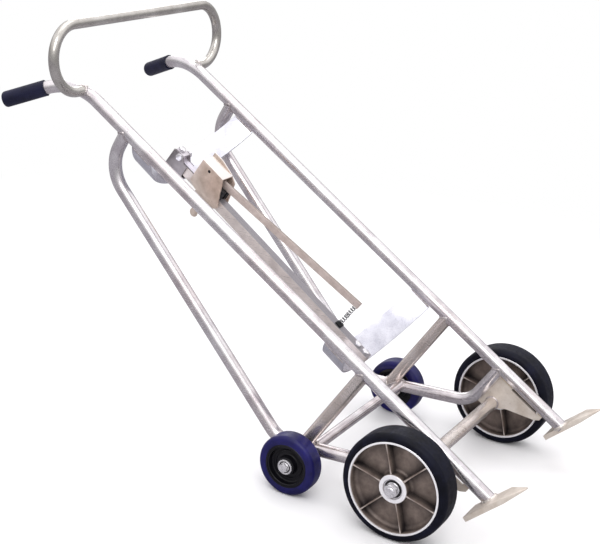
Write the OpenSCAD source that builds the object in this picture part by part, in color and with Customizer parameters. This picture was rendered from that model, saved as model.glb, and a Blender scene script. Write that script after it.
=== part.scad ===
// Four-wheel drum hand truck: welded round-tube frame, curved cross plates, spring-loaded hook carriage.
// Axes: X across the truck, +Y towards the operator's handles, +Z up. The truck stands on its four wheels.
// Origin: floor level, at the centre of the truck's footprint box. "Left" is the operator's left, +X.
// The frame is drawn in rail axes: x across, t up along the rails, n square to them on the load side,
// measured from the main axle.

/* [Rails and handles] */
// Distance between the centre lines of the two rails
rail_spacing = 459; // [456:1:464]
// Outside diameter of the rails, legs, struts and axle tube
tube_d = 32; // [30:1:33]
// Wall thickness of the tubes
tube_wall = 3; // [2:0.5:4]
// Angle of the rails above the floor
rail_angle = 32; // [31:0.5:33]
// Distance from the main axle to the rails' plane
rail_offset = 89; // [85:1:92]
// Rail length above the main axle, up to the handle bend
rail_run = 1137; // [1133:1:1140]
// Centre-line radius of the handle bend
handle_bend_r = 140; // [135:1:145]
// Angle of the handle bend
handle_bend = 57.5; // [55:0.5:60]
// Outward turn of the handles about the rails
handle_flare = 24.5; // [22:0.5:28]
// Length of a hand grip
grip_len = 112; // [105:1:120]
// Outside diameter of a hand grip
grip_d = 39; // [37:1:41]

/* [Loop handle] */
// Tube diameter of the loop handle
loop_d = 25; // [22:1:27]
// Height of the loop between its two straight runs
loop_h = 158; // [156:1:170]
// Half the width of the loop, to its tube's centre line
loop_half_w = 340; // [330:1:350]
// Lean of the loop away from the rails' line
loop_lean = 52.5; // [48:0.5:56]
// Place of the loop's weld along the rail
loop_t = 1176; // [1170:1:1180]

/* [Legs and braces] */
// Centre-line radius of the leg's upper bend
leg_top_r = 92; // [80:1:95]
// Centre-line radius of the leg's lower bends
leg_bend_r = 70; // [60:1:75]
// Place of the leg's upper weld along the rail
leg_top_t = 1028; // [1022:1:1034]
// Place of the strut along the rail
strut_t = 226; // [220:1:232]
// Diameter of the rear cross tube
cross_d = 25; // [22:1:28]
// Thickness of the axle gussets
gusset_t = 6; // [5:1:8]

/* [Toe plates] */
// Distance from the truck's centre plane to the middle of a toe plate
toe_x = 250; // [246:1:254]
// Width of a toe plate
toe_w = 70; // [66:1:76]
// Length of a toe plate, rear edge to tip
toe_len = 156; // [150:1:164]
// Thickness of a toe plate
toe_t = 12; // [9:0.5:14]
// Lean of the toe plates from square to the rails
toe_lean = 15.5; // [13:0.5:17]

/* [Cross plates and centre bar] */
// Inside radius of the rolled cross plates, which clear the drum
plate_r = 272; // [270:1:274]
// Height of a cross plate along the rails
plate_h = 66; // [60:1:68]
// Thickness of a cross plate
plate_t = 5; // [4:1:6]
// Width and depth of the square centre bar
bar_w = 26; // [25:1:28]
// Lean of the centre bar from the rails' plane
bar_lean = 1.8; // [1.6:0.1:2]

/* [Hook carriage] */
// Outside width of the hook carriage
hook_w = 50; // [48:1:54]
// Distance from the bar's face to the front of the hook
hook_reach = 58; // [56:1:60]
// Sheet thickness of the hook carriage
hook_t = 4; // [3.5:0.5:4.5]
// How much higher the hook stands on the left flange
hook_ear = 10; // [4:1:12]
// Width of the lever's flat bar
lever_w = 18; // [16:1:19]
// Thickness of the lever's flat bar
lever_t = 8; // [6:1:8]
// Diameter of the lever's pivot pin
pin_d = 8; // [7:1:9]
// Number of coils in the lever spring
spring_turns = 9; // [7:1:11]

/* [Main wheels] */
// Tyre diameter of the main wheels
wheel_d = 254; // [250:1:260]
// Width of a main wheel
wheel_w = 70; // [68:1:74]
// Distance from the truck's centre plane to a main wheel's centre
wheel_x = 305; // [304:1:308]
// Outside diameter of the cast rim
rim_d = 218; // [214:1:222]
// Outside diameter of the hub boss
boss_d = 66; // [62:1:70]
// Number of ribs on each face of the hub
rib_count = 6; // [5:1:8]
// Diameter of the main axle
axle_d = 19; // [18:1:20]

/* [Rear wheels] */
// Tread diameter of the rear wheels
rear_d = 146; // [144:1:148]
// Width of a rear wheel
rear_w = 48; // [44:1:50]
// Distance from the truck's centre plane to a rear wheel's centre
rear_x = 281; // [280:1:284]
// Distance from the main axle back to the rear axle bolts
rear_y = 286; // [283:1:289]
// Diameter of the rear wheels' moulded core
rear_core_d = 106; // [100:1:110]
// Diameter of the rear axle bolts
rear_bolt_d = 12; // [11:1:12]

/* [Hidden] */

$fn = 64;
fit_gap = 0.05;                 // gap left at welds and between close parts
run_gap = 0.05;                 // radial clearance of a running fit
slide_gap = 0.3;                // clearance of the sliding carriage
axle_y = -441.4;                 // main axle, measured from the centre of the footprint
axle_z = wheel_d / 2;
rail_x = rail_spacing / 2;
toe_t0 = -146.5;                // rear top edge of the toe plates, in rail axes
toe_n0 = 42.4;

// Leg centre line in rail axes: rail weld, upper bend, rear lower bend, bend behind the axle, rail weld
weld_back = 7;                  // how far a coped tube stops short of the rail's centre line
bend_lap = 1;
bend_thin = 0.5;
leg_front_t = 43;
leg_path = [[leg_top_t, rail_offset - weld_back], [leg_top_t - 8, -19], [278, -215], [leg_front_t, -41],
            [leg_front_t, rail_offset - weld_back]];
leg_bends = [leg_top_r, leg_bend_r, leg_bend_r];
leg_bottom_slope = (leg_path[3][1] - leg_path[2][1]) / (leg_path[3][0] - leg_path[2][0]);
strut_n = leg_path[2][1] + (strut_t - leg_path[2][0]) * leg_bottom_slope;
cross_t = 202;
cross_n = -152;

// Centre bar, in its own axes: u up along the bar, w forward from its front face
bar_t0 = 306;
bar_n0 = -18;
bar_low = -27;
bar_high = 684;
lower_plate_u = 7;
upper_plate_u = 663.5;
plate_bolt_d = 10;
lower_bolt_us = [-13, 13];
upper_bolt_u = 675;
stop_u = 656;                   // lower edge of the stop block
hook_top_u = 605;
hook_front_u = 533;
pivot_u = 574;
pivot_w = 46;
spring_u = 80;
lever_end_u = 72;
lever_end_w = 79;               // middle of the lever's lower end
spring_d = 12;
wire_d = 2;
foot_t = 5;

function unit(v) = v / norm(v);
function heading(path, i) = unit(path[i + 1] - path[i]);
function angle_of(v) = atan2(v[1], v[0]);
function wrap(a) = a > 180 ? a - 360 : a < -180 ? a + 360 : a;
function turn(path, i) = wrap(angle_of(heading(path, i)) - angle_of(heading(path, i - 1)));
function trim_at(path, i, bends) =
    i == 0 || i == len(path) - 1 ? 0 : bends[i - 1] * tan(abs(turn(path, i)) / 2);
function arc_points(c, r, a0, a1, steps) =
    [for (i = [0:steps]) c + r * [cos(a0 + (a1 - a0) * i / steps), sin(a0 + (a1 - a0) * i / steps)]];

// Solid rod along a flat path, with a bend radius for each inner point. A bend draws down slightly, and
// each run laps into it.
module bent_rod(path, bends, d) {
    last = len(path) - 1;
    for (i = [0:last - 1]) {
        h = heading(path, i);
        before = i == 0 ? 0 : trim_at(path, i, bends) - bend_lap;
        after = i == last - 1 ? 0 : trim_at(path, i + 1, bends) - bend_lap;
        start = path[i] + before * h;
        translate([start[0], start[1], 0])
            rotate([0, 0, angle_of(h)])
                rotate([0, 90, 0])
                    cylinder(h = norm(path[i + 1] - path[i]) - before - after, d = d);
    }
    for (i = [1:last - 1]) {
        h = heading(path, i - 1);
        bend = turn(path, i);
        side = sign(bend);
        bend_r = bends[i - 1];
        centre = path[i] - trim_at(path, i, bends) * h + side * bend_r * [-h[1], h[0]];
        from = side > 0 ? angle_of(h) - 90 : angle_of(h) + 90 - abs(bend);
        translate([centre[0], centre[1], 0])
            rotate([0, 0, from])
                rotate_extrude(angle = abs(bend))
                    translate([bend_r, 0])
                        circle(d = d - bend_thin);
    }
}

function stretched(path, by) =
    let (last = len(path) - 1)
    [for (i = [0:last]) i == 0 ? path[0] - by * heading(path, 0)
        : i == last ? path[last] + by * heading(path, last - 1) : path[i]];

// Tube along a flat path, open at both ends
module bent_tube(path, bends, d, wall) {
    difference() {
        bent_rod(path, bends, d);
        bent_rod(stretched(path, 1), bends, d - 2 * wall);
    }
}

// Places x, t, n shapes on the truck
module rail_axes() {
    translate([0, axle_y, axle_z])
        rotate([rail_angle, 0, 0])
            children();
}

// Places x, u, w shapes on the truck
module bar_axes() {
    rail_axes()
        translate([0, bar_t0, bar_n0])
            rotate([bar_lean, 0, 0])
                children();
}

// Stands a flat drawing upright, so its first axis runs along t (or u) and its second along n (or w)
module upright() {
    rotate([90, 0, 90])
        children();
}

// Upright plate of a thickness, starting at x
module side_plate(points, x, thick) {
    translate([x, 0, 0])
        upright()
            linear_extrude(thick)
                polygon(points);
}

module to_side(side) {
    mirror([side < 0 ? 1 : 0, 0, 0])
        children();
}

module ring(h, d, bore) {
    difference() {
        cylinder(h = h, d = d);
        translate([0, 0, -1])
            cylinder(h = h + 2, d = bore);
    }
}

module hex_prism(h, across_flats) {
    cylinder(h = h, d = across_flats / cos(30), $fn = 6);
}

// Points the drawing's +Z along +X, with its base at x
module along_x(x) {
    translate([x, 0, 0])
        rotate([0, 90, 0])
            children();
}

// ---------- rails, handles and grips ----------
grip_end = 8;                   // thickness of a grip's closed end
bend_trim = handle_bend_r * tan(handle_bend / 2);
handle_len = bend_trim + grip_len - grip_end;
rail_foot = -190;               // drawn past the toe plate and cut off by it
rail_path = [[rail_foot, 0], [rail_run + bend_trim, 0],
             [rail_run + bend_trim + handle_len * cos(handle_bend), -handle_len * sin(handle_bend)]];

// Draws in the plane of the rail and its handle, on the left side
module left_rail_plane() {
    rail_axes()
        translate([rail_x, 0, rail_offset])
            rotate([0, -handle_flare, 0])
                upright()
                    children();
}

module rail_rod(grow) {
    left_rail_plane()
        bent_rod(rail_path, [handle_bend_r], tube_d + 2 * grow);
}

// Straight part of the rail only, to cut the parts welded to it
module rail_run_rod(grow) {
    rail_axes()
        translate([rail_x, 0, rail_offset])
            rotate([-90, 0, 0])
                translate([0, 0, rail_foot])
                    cylinder(h = rail_run - rail_foot, d = tube_d + 2 * grow);
}

// Everything on the underside of the toe plate's top face
module below_toe_face() {
    rail_axes()
        translate([0, toe_t0, toe_n0])
            rotate([toe_lean, 0, 0])
                translate([0, -500 + fit_gap, -500])
                    cube([1000, 500, 1000]);
}

module rail() {
    color("gainsboro")
        difference() {
            left_rail_plane()
                bent_tube(rail_path, [handle_bend_r], tube_d, tube_wall);
            below_toe_face();
        }
}

module left_rail() { rail(); }
module right_rail() { to_side(-1) rail(); }

grip_round = 6;
module grip() {
    grip_start = rail_path[2] - (grip_len - grip_end) * heading(rail_path, 1);
    wall_r = grip_d / 2;
    color([0.07, 0.08, 0.16])
        left_rail_plane()
            translate([grip_start[0], grip_start[1], 0])
                rotate([0, 0, -handle_bend])
                    rotate([0, 90, 0])
                        difference() {
                            rotate_extrude()
                                polygon(concat([[0, 0], [wall_r, 0]],
                                    arc_points([wall_r - grip_round, grip_len - grip_round],
                                               grip_round, 0, 90, 4),
                                    [[0, grip_len]]));
                            translate([0, 0, -1])
                                cylinder(h = grip_len - grip_end + 1 + fit_gap,
                                         d = tube_d + 2 * fit_gap);
                        }
}

module left_grip() { grip(); }
module right_grip() { to_side(-1) grip(); }

module loop_handle() {
    bend_r = loop_h / 2 - 1;
    path = [[rail_x, 0], [loop_half_w, 0], [loop_half_w, loop_h], [-loop_half_w, loop_h],
            [-loop_half_w, 0], [-rail_x, 0]];
    color("silver")
        difference() {
            rail_axes()
                translate([0, loop_t, rail_offset])
                    rotate([loop_lean, 0, 0])
                        bent_tube(path, [bend_r, bend_r, bend_r, bend_r], loop_d, tube_wall);
            rail_rod(fit_gap);
            to_side(-1) rail_rod(fit_gap);
        }
}

// ---------- legs, struts and cross tubes ----------
module leg_rod(grow) {
    rail_axes()
        translate([rail_x, 0, 0])
            upright()
                bent_rod(leg_path, leg_bends, tube_d + 2 * grow);
}

module leg() {
    color("gainsboro")
        difference() {
            rail_axes()
                translate([rail_x, 0, 0])
                    upright()
                        bent_tube(leg_path, leg_bends, tube_d, tube_wall);
            rail_run_rod(fit_gap);
        }
}

module left_leg() { leg(); }
module right_leg() { to_side(-1) leg(); }

module strut() {
    color("gainsboro")
        difference() {
            rail_axes()
                translate([rail_x, strut_t, strut_n + weld_back])
                    ring(rail_offset - strut_n - 2 * weld_back, tube_d, tube_d - 2 * tube_wall);
            rail_run_rod(fit_gap);
            leg_rod(fit_gap);
        }
}

module left_strut() { strut(); }
module right_strut() { to_side(-1) strut(); }

module strut_rod(grow) {
    rail_axes()
        translate([rail_x, strut_t, strut_n])
            cylinder(h = rail_offset - strut_n, d = tube_d + 2 * grow);
}

module rear_cross_tube() {
    reach = rail_x - weld_back;
    color("gainsboro")
        difference() {
            rail_axes()
                translate([0, cross_t, cross_n])
                    along_x(-reach)
                        ring(2 * reach, cross_d, cross_d - 2 * tube_wall);
            for (side = [-1, 1])
                to_side(side) {
                    leg_rod(fit_gap);
                    strut_rod(fit_gap);
                }
        }
}

axle_tube_reach = rail_x + 8;
module axle_tube() {
    color("gainsboro")
        rail_axes()
            along_x(-axle_tube_reach)
                ring(2 * axle_tube_reach, tube_d, axle_d + 2 * run_gap);
}

// Flat plate between the leg, the rail and the axle tube, with a slot left open under the rail
module axle_gusset() {
    outline = [[34, -22], [34, 82], [-113, 82], [-113, 60], [-103, 50], [-36, 16], [-17, -2], [-2, -22]];
    slot = [[-97, 66], [-13, 66], [-13, 82], [-97, 82]];
    color("tan")
        difference() {
            rail_axes()
                side_plate(outline, rail_x - gusset_t / 2, gusset_t);
            rail_axes()
                side_plate(slot, rail_x - gusset_t, 2 * gusset_t);
            rail_run_rod(fit_gap);
            leg_rod(fit_gap);
            rail_axes()
                along_x(rail_x - gusset_t)
                    cylinder(h = 2 * gusset_t, d = tube_d + 2 * fit_gap);
        }
}

module left_axle_gusset() { axle_gusset(); }
module right_axle_gusset() { to_side(-1) axle_gusset(); }

// ---------- toe plates ----------
toe_tip_w = 8;
toe_straight = 0.68;            // part of the length before the point begins
toe_tip_t = 3;

// Drawn flat: x across, y towards the tip, z down into the plate; the top face slopes off at the tip
module toe_plate() {
    half = toe_w / 2;
    tip = toe_tip_w / 2;
    shoulder = toe_len * toe_straight;
    outline = [[-half, 0], [half, 0], [half, shoulder], [tip, toe_len], [-tip, toe_len],
               [-half, shoulder]];
    side_view = [[0, 0], [shoulder, 0], [toe_len, toe_t - toe_tip_t], [toe_len, toe_t], [0, toe_t]];
    color("wheat")
        rail_axes()
            translate([toe_x, toe_t0, toe_n0])
                rotate([toe_lean, 0, 0])
                    rotate([90, 0, 0])
                        intersection() {
                            translate([0, 0, -toe_t])
                                linear_extrude(3 * toe_t)
                                    polygon(outline);
                            side_plate(side_view, -toe_w, 2 * toe_w);
                        }
}

module left_toe_plate() { toe_plate(); }
module right_toe_plate() { to_side(-1) toe_plate(); }

// ---------- cross plates and centre bar ----------
spacer_t = 20.3;                // the upper plate stands this much further back than the lower one
bracket_t = 3;
bracket_in = bar_w / 2 + 0.3;
bracket_out = bracket_in + bracket_t;
plate_sag = plate_r - sqrt(plate_r * plate_r - bar_w * bar_w / 4);
lower_plate_w = -bar_w - fit_gap - plate_sag;
upper_plate_w = lower_plate_w - spacer_t - fit_gap;
plate_reach = rail_x - 4;       // the strip's ends run into the sides of the rails
stop_t = 15;
stop_bolt_u = stop_u + 6;
stop_bolt_w = stop_t / 2;

// Strip rolled to the drum's curve, its middle touching w at front_w, and welded to the rails
module cross_plate(u, front_w, bolt_us) {
    color("lightgrey")
        difference() {
            bar_axes()
                intersection() {
                    translate([0, u + plate_h / 2, plate_r + front_w])
                        rotate([90, 0, 0])
                            ring(plate_h, 2 * (plate_r + plate_t), 2 * plate_r);
                    translate([-plate_reach, u - plate_h, front_w - 2 * plate_t])
                        cube([2 * plate_reach, 2 * plate_h, plate_r]);
                }
            for (side = [-1, 1])
                to_side(side)
                    rail_run_rod(fit_gap);
            bar_axes()
                for (bolt_u = bolt_us)
                    translate([0, bolt_u, front_w - 2 * plate_t])
                        cylinder(h = 4 * plate_t, d = plate_bolt_d + 4 * fit_gap);
        }
}

module upper_cross_plate() { cross_plate(upper_plate_u, upper_plate_w, [upper_bolt_u]); }
module lower_cross_plate() { cross_plate(lower_plate_u, lower_plate_w, lower_bolt_us); }

// Square block on the bar's line, from w = low_w, with a hole for the upper bolt
module bar_block(low_u, low_w, thick) {
    difference() {
        translate([-bar_w / 2, low_u, low_w])
            cube([bar_w, bar_high - low_u, thick]);
        translate([0, upper_bolt_u, low_w - 1])
            cylinder(h = thick + 2, d = plate_bolt_d + 4 * fit_gap);
    }
}

module centre_bar() {
    inner = bar_w - 2 * tube_wall;
    color("lightgrey")
        bar_axes()
            difference() {
                translate([-bar_w / 2, bar_low, -bar_w])
                    cube([bar_w, bar_high - bar_low, bar_w]);
                translate([-inner / 2, bar_low - 1, -bar_w + tube_wall])
                    cube([inner, bar_high - bar_low + 2, inner]);
                for (u = concat(lower_bolt_us, [upper_bolt_u]))
                    translate([0, u, -bar_w - 1])
                        cylinder(h = bar_w + 2, d = plate_bolt_d + 4 * fit_gap);
            }
}

// Channel welded to the upper plate: it holds the bar's end between two cheeks
module bar_bracket() {
    back_w = upper_plate_w + fit_gap + plate_sag + 0.2;
    low_u = upper_plate_u - plate_h / 2;
    high_u = bar_high + 3;
    cheek = [[low_u, back_w], [high_u, back_w], [high_u, stop_t - 2], [stop_u - 2, stop_t - 2],
             [stop_u - 12, 0], [low_u, 0]];
    color("darkgrey")
        bar_axes()
            difference() {
                union() {
                    side_plate(cheek, bracket_in, bracket_t);
                    side_plate(cheek, -bracket_out, bracket_t);
                    translate([-bracket_out, low_u, back_w])
                        cube([2 * bracket_out, high_u - low_u, bracket_t]);
                }
                translate([0, stop_bolt_u, stop_bolt_w])
                    along_x(-bar_w)
                        cylinder(h = 2 * bar_w, d = plate_bolt_d + 4 * fit_gap);
                translate([0, upper_bolt_u, back_w - 1])
                    cylinder(h = bracket_t + 2, d = plate_bolt_d + 4 * fit_gap);
            }
}

// Block between the bracket's back and the bar
module bar_spacer() {
    low_w = upper_plate_w + plate_sag + 2 * fit_gap + 0.2 + bracket_t;
    color("darkgrey")
        bar_axes()
            bar_block(stop_u, low_w, -bar_w - fit_gap - low_w);
}

// Block that stops the carriage before it runs off the bar
module bar_stop() {
    color("silver")
        bar_axes()
            difference() {
                bar_block(stop_u, fit_gap, stop_t);
                translate([0, stop_bolt_u, stop_bolt_w])
                    along_x(-bar_w)
                        cylinder(h = 2 * bar_w, d = plate_bolt_d + 4 * fit_gap);
            }
}

bolt_head_h = 6.5;
bolt_flats = 17;
bolt_nut_h = 8;
bolt_tail = 3;                  // thread past the nut

// Bolt drawn pointing down, with the underside of its head at z = 0
module hex_bolt(grip_t) {
    shank = grip_t + bolt_nut_h + bolt_tail;
    union() {
        hex_prism(bolt_head_h, bolt_flats);
        translate([0, 0, -shank])
            cylinder(h = shank + 1, d = plate_bolt_d);
    }
}

// Nut drawn with its seat at z = 0 and its body below
module hex_nut() {
    translate([0, 0, -bolt_nut_h])
        difference() {
            hex_prism(bolt_nut_h, bolt_flats);
            translate([0, 0, -1])
                cylinder(h = bolt_nut_h + 2, d = plate_bolt_d + 2 * fit_gap);
        }
}

upper_head_w = stop_t + 2 * fit_gap;
module cross_plate_bolts() {
    color("silver")
        bar_axes() {
            for (u = lower_bolt_us)
                translate([0, u, fit_gap])
                    hex_bolt(fit_gap - lower_plate_w + plate_t);
            translate([0, upper_bolt_u, upper_head_w])
                hex_bolt(upper_head_w - upper_plate_w + plate_t);
        }
}

module cross_plate_nuts() {
    color("silver")
        bar_axes() {
            for (u = lower_bolt_us)
                translate([0, u, lower_plate_w - plate_t - fit_gap])
                    hex_nut();
            translate([0, upper_bolt_u, upper_plate_w - plate_t - fit_gap])
                hex_nut();
        }
}

// Bolt through the bracket and the stop block, with its head on the right and its nut on the left
module stop_bolt() {
    color("silver")
        bar_axes()
            translate([-bracket_out - fit_gap, stop_bolt_u, stop_bolt_w])
                rotate([0, -90, 0])
                    hex_bolt(2 * bracket_out + 2 * fit_gap);
}

module stop_nut() {
    color("silver")
        bar_axes()
            translate([bracket_out + fit_gap, stop_bolt_u, stop_bolt_w])
                rotate([0, -90, 0])
                    hex_nut();
}

// ---------- hook carriage ----------
flange_rear_w = -19;
module hook_carriage() {
    half = hook_w / 2;
    ear_w = hook_reach + hook_ear;
    foot = [[hook_top_u - 2, -10], [581, flange_rear_w], [507, flange_rear_w], [501, -12]];
    right_flange = concat([[hook_top_u, hook_reach]], foot, [[hook_front_u, hook_reach]]);
    left_flange = concat([[hook_top_u + 3, ear_w]], foot,
                         [[517, hook_reach - 12], [540, hook_reach + 1], [578, ear_w]]);
    color([0.78, 0.68, 0.5])
        bar_axes()
            difference() {
                union() {
                    side_plate(left_flange, half - hook_t, hook_t);
                    side_plate(right_flange, -half, hook_t);
                    translate([-half, hook_front_u, hook_reach - hook_t])
                        cube([hook_w - 1, hook_top_u - hook_front_u, hook_t]);
                }
                translate([0, pivot_u, pivot_w])
                    along_x(-half - 1)
                        cylinder(h = hook_w + 2, d = pin_d + 2 * fit_gap);
                rivet_holes(fit_gap);
            }
}

guide_low_u = 512;
guide_high_u = 578;
guide_front_w = 30;
keeper_t = 3;
lever_slot = 5;                 // half the width of the slot for the lever
rivet_d = 5;
rivet_us = [524, 566];
rivet_w = -9;
keeper_in = bar_w / 2 + slide_gap;
keeper_out = keeper_in + keeper_t;

module rivet_holes(grow) {
    for (u = rivet_us)
        translate([0, u, rivet_w])
            for (side = [-1, 1])
                to_side(side)
                    along_x(keeper_in - 1)
                        cylinder(h = hook_w / 2 - keeper_in + 2, d = rivet_d + 2 * grow);
}

// Nylon blocks that run on the front of the bar, one each side of the lever
module carriage_guides() {
    outer = hook_w / 2 - hook_t - fit_gap;
    color([0.08, 0.08, 0.09])
        bar_axes()
            difference() {
                for (side = [-1, 1])
                    to_side(side) {
                        translate([lever_slot, guide_low_u, slide_gap])
                            cube([outer - lever_slot, guide_high_u - guide_low_u,
                                  guide_front_w - slide_gap]);
                        translate([keeper_out + fit_gap, guide_low_u, flange_rear_w + 1])
                            cube([outer - keeper_out - fit_gap, guide_high_u - guide_low_u,
                                  1 - flange_rear_w]);
                    }
                rivet_holes(fit_gap);
            }
}

// Steel clip round the sides and back of the bar, with a finger tab behind it
module carriage_keeper() {
    arm_front_w = slide_gap - 1;
    back_w = -bar_w - slide_gap;
    tab_end = [546, -76];
    tab_r = 12;
    tab_root = [560, back_w];
    tab = concat([tab_root + [14, 0], tab_root + [-14, 0]],
                 [for (p = arc_points(tab_end, tab_r, 200, 380, 10)) p]);
    color([0.72, 0.63, 0.46])
        bar_axes()
            difference() {
                union() {
                    for (side = [-1, 1])
                        to_side(side)
                            translate([keeper_in, guide_low_u, back_w - keeper_t])
                                cube([keeper_t, guide_high_u - guide_low_u,
                                      arm_front_w - back_w + keeper_t]);
                    translate([-keeper_out, guide_low_u, back_w - keeper_t])
                        cube([2 * keeper_out, guide_high_u - guide_low_u, keeper_t]);
                    side_plate(tab, -keeper_out, keeper_t);
                }
                rivet_holes(fit_gap);
            }
}

// Rivets and pin are set flush with the outside of the flanges
module carriage_rivets() {
    color("silver")
        bar_axes()
            for (u = rivet_us)
                translate([0, u, rivet_w])
                    for (side = [-1, 1])
                        to_side(side)
                            along_x(keeper_in)
                                cylinder(h = hook_w / 2 - keeper_in, d = rivet_d);
}

module hook_pivot_pin() {
    color([0.15, 0.15, 0.15])
        bar_axes()
            translate([0, pivot_u, pivot_w])
                along_x(-hook_w / 2)
                    cylinder(h = hook_w, d = pin_d);
}

module pivot_spacers() {
    gap = 0.2;
    color("silver")
        bar_axes()
            translate([0, pivot_u, pivot_w])
                for (side = [-1, 1])
                    to_side(side)
                        along_x(lever_t / 2 + gap)
                            ring(hook_w / 2 - hook_t - lever_t / 2 - 2 * gap, pin_d + 5,
                                 pin_d + 2 * fit_gap);
}

// Flat-bar lever: its nose bears on the bar and holds the carriage, and pressing its end lifts the nose
module hook_lever() {
    half = lever_w / 2;
    neck_u = 528;
    neck_w = lever_end_w - (neck_u - lever_end_u) * tan(5.2);
    outline = concat([[lever_end_u, lever_end_w - half], [neck_u, neck_w - half],
                      [560, 20], [580, 6], [586, 0.4], [592, 1.2], [593, 20]],
                     arc_points([pivot_u, pivot_w], 7.5, 0, 110, 6),
                     [[neck_u, neck_w + half], [lever_end_u, lever_end_w + half]]);
    color([0.75, 0.66, 0.55])
        bar_axes()
            difference() {
                side_plate(outline, -lever_t / 2, lever_t);
                translate([0, pivot_u, pivot_w])
                    along_x(-lever_t)
                        cylinder(h = 2 * lever_t, d = pin_d + 2 * run_gap);
            }
}

spring_low_w = slide_gap + foot_t;
spring_high_w = lever_end_w - lever_w / 2 - 1.2;
coil_steps = 14;
wire_sides = 8;

// One ring of wire section points, at step i of the coil
function wire_ring(i, steps, r, low, high) =
    let (a = 360 * i / coil_steps, z = low + (high - low) * i / steps)
    [for (j = [0:wire_sides - 1])
        let (b = 360 * j / wire_sides, out = r + wire_d / 2 * cos(b))
        [out * cos(a), out * sin(a), z + wire_d / 2 * sin(b)]];

module lever_spring() {
    steps = spring_turns * coil_steps;
    r = (spring_d - wire_d) / 2;
    low = spring_low_w + wire_d / 2 + fit_gap;
    high = spring_high_w - wire_d / 2;
    points = [for (i = [0:steps]) each wire_ring(i, steps, r, low, high)];
    last = steps * wire_sides;
    walls = [for (i = [0:steps - 1], j = [0:wire_sides - 1])
        let (k = (j + 1) % wire_sides, a = i * wire_sides)
        each [[a + j, a + wire_sides + k, a + k], [a + j, a + wire_sides + j, a + wire_sides + k]]];
    ends = [[for (j = [0:wire_sides - 1]) j], [for (j = [wire_sides - 1:-1:0]) last + j]];
    color([0.2, 0.2, 0.2])
        bar_axes()
            translate([0, spring_u, 0])
                polyhedron(points, concat(walls, ends));
}

// Pad between the spring and the front of the bar, which slides along with the carriage
module spring_foot() {
    side = 18;
    color([0.1, 0.1, 0.1])
        bar_axes()
            translate([-side / 2, spring_u - side / 2, slide_gap])
                cube([side, side, foot_t]);
}

// ---------- main wheels ----------
bearing_d = 47;
bearing_w = 14;
bearing_recess = 3;             // bearings sit this far inside the boss
washer_t = 3;
washer_d = 32;
axle_nut_flats = 28;
axle_nut_h = 13;
bearing_out_x = wheel_x + wheel_w / 2 - bearing_recess;
nut_x = bearing_out_x + washer_t + 2 * fit_gap;

module main_axle() {
    reach = nut_x + axle_nut_h + 1;
    color("silver")
        rail_axes()
            along_x(-reach)
                cylinder(h = 2 * reach, d = axle_d);
}

// Tube between the axle tube's end and the inner bearing
module axle_spacers() {
    start = axle_tube_reach + fit_gap;
    color("silver")
        rail_axes()
            for (side = [-1, 1])
                to_side(side)
                    along_x(start)
                        ring(wheel_x - wheel_w / 2 + bearing_recess - fit_gap - start, 28,
                             axle_d + 2 * fit_gap);
}

module axle_washers() {
    color("silver")
        rail_axes()
            for (side = [-1, 1])
                to_side(side)
                    along_x(bearing_out_x + fit_gap)
                        ring(washer_t, washer_d, axle_d + 4 * fit_gap);
}

module axle_nuts() {
    color("silver")
        rail_axes()
            for (side = [-1, 1])
                to_side(side)
                    along_x(nut_x)
                        difference() {
                            hex_prism(axle_nut_h, axle_nut_flats);
                            translate([0, 0, -1])
                                cylinder(h = axle_nut_h + 2, d = axle_d + 2 * fit_gap);
                        }
}

// Puts a wheel drawn about +Z on the left main axle
module at_main_wheel() {
    translate([wheel_x, axle_y, axle_z])
        rotate([0, 90, 0])
            children();
}

tyre_round = 15;
module main_tyre() {
    half = wheel_w / 2;
    outer = wheel_d / 2;
    color([0.06, 0.07, 0.12])
        at_main_wheel()
            rotate_extrude()
                polygon(concat([[rim_d / 2, -half], [outer - tyre_round, -half]],
                    arc_points([outer - tyre_round, -half + tyre_round], tyre_round, -75, 0, 5),
                    arc_points([outer - tyre_round, half - tyre_round], tyre_round, 0, 75, 5),
                    [[outer - tyre_round, half], [rim_d / 2, half]]));
}

rim_ring = 5;
web_t = 20;
rib_t = 4;
rib_drop = 3;                   // ribs stop this far below the rim's face
rib_phase = 44;
module main_hub() {
    half = wheel_w / 2;
    rim_in = rim_d - 2 * rim_ring;
    seat_d = bearing_d + 2 * fit_gap;
    color([0.52, 0.47, 0.43])
        at_main_wheel()
            difference() {
                union() {
                    translate([0, 0, -half])
                        ring(wheel_w, rim_d - 2 * fit_gap, rim_in);
                    translate([0, 0, -web_t / 2])
                        cylinder(h = web_t, d = rim_in + 1);
                    translate([0, 0, -half])
                        cylinder(h = wheel_w, d = boss_d);
                    for (i = [0:rib_count - 1])
                        rotate([0, 0, rib_phase + i * 360 / rib_count])
                            translate([boss_d / 2 - 1, -rib_t / 2, -half + rib_drop])
                                cube([(rim_in - boss_d) / 2 + 2, rib_t, wheel_w - 2 * rib_drop]);
                }
                translate([0, 0, -half - 1])
                    cylinder(h = wheel_w + 2, d = axle_d + 4);
                for (end = [0, 1])
                    mirror([0, 0, end])
                        translate([0, 0, half - bearing_recess - bearing_w])
                            cylinder(h = bearing_w + bearing_recess + 1, d = seat_d);
            }
}

module main_bearings() {
    color("silver")
        at_main_wheel()
            for (end = [0, 1])
                mirror([0, 0, end])
                    translate([0, 0, wheel_w / 2 - bearing_recess - bearing_w + fit_gap])
                        ring(bearing_w - 2 * fit_gap, bearing_d, axle_d + 2 * run_gap);
}

module left_main_tyre() { main_tyre(); }
module left_main_hub() { main_hub(); }
module left_main_bearings() { main_bearings(); }
module right_main_tyre() { to_side(-1) main_tyre(); }
module right_main_hub() { to_side(-1) main_hub(); }
module right_main_bearings() { to_side(-1) main_bearings(); }

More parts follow.
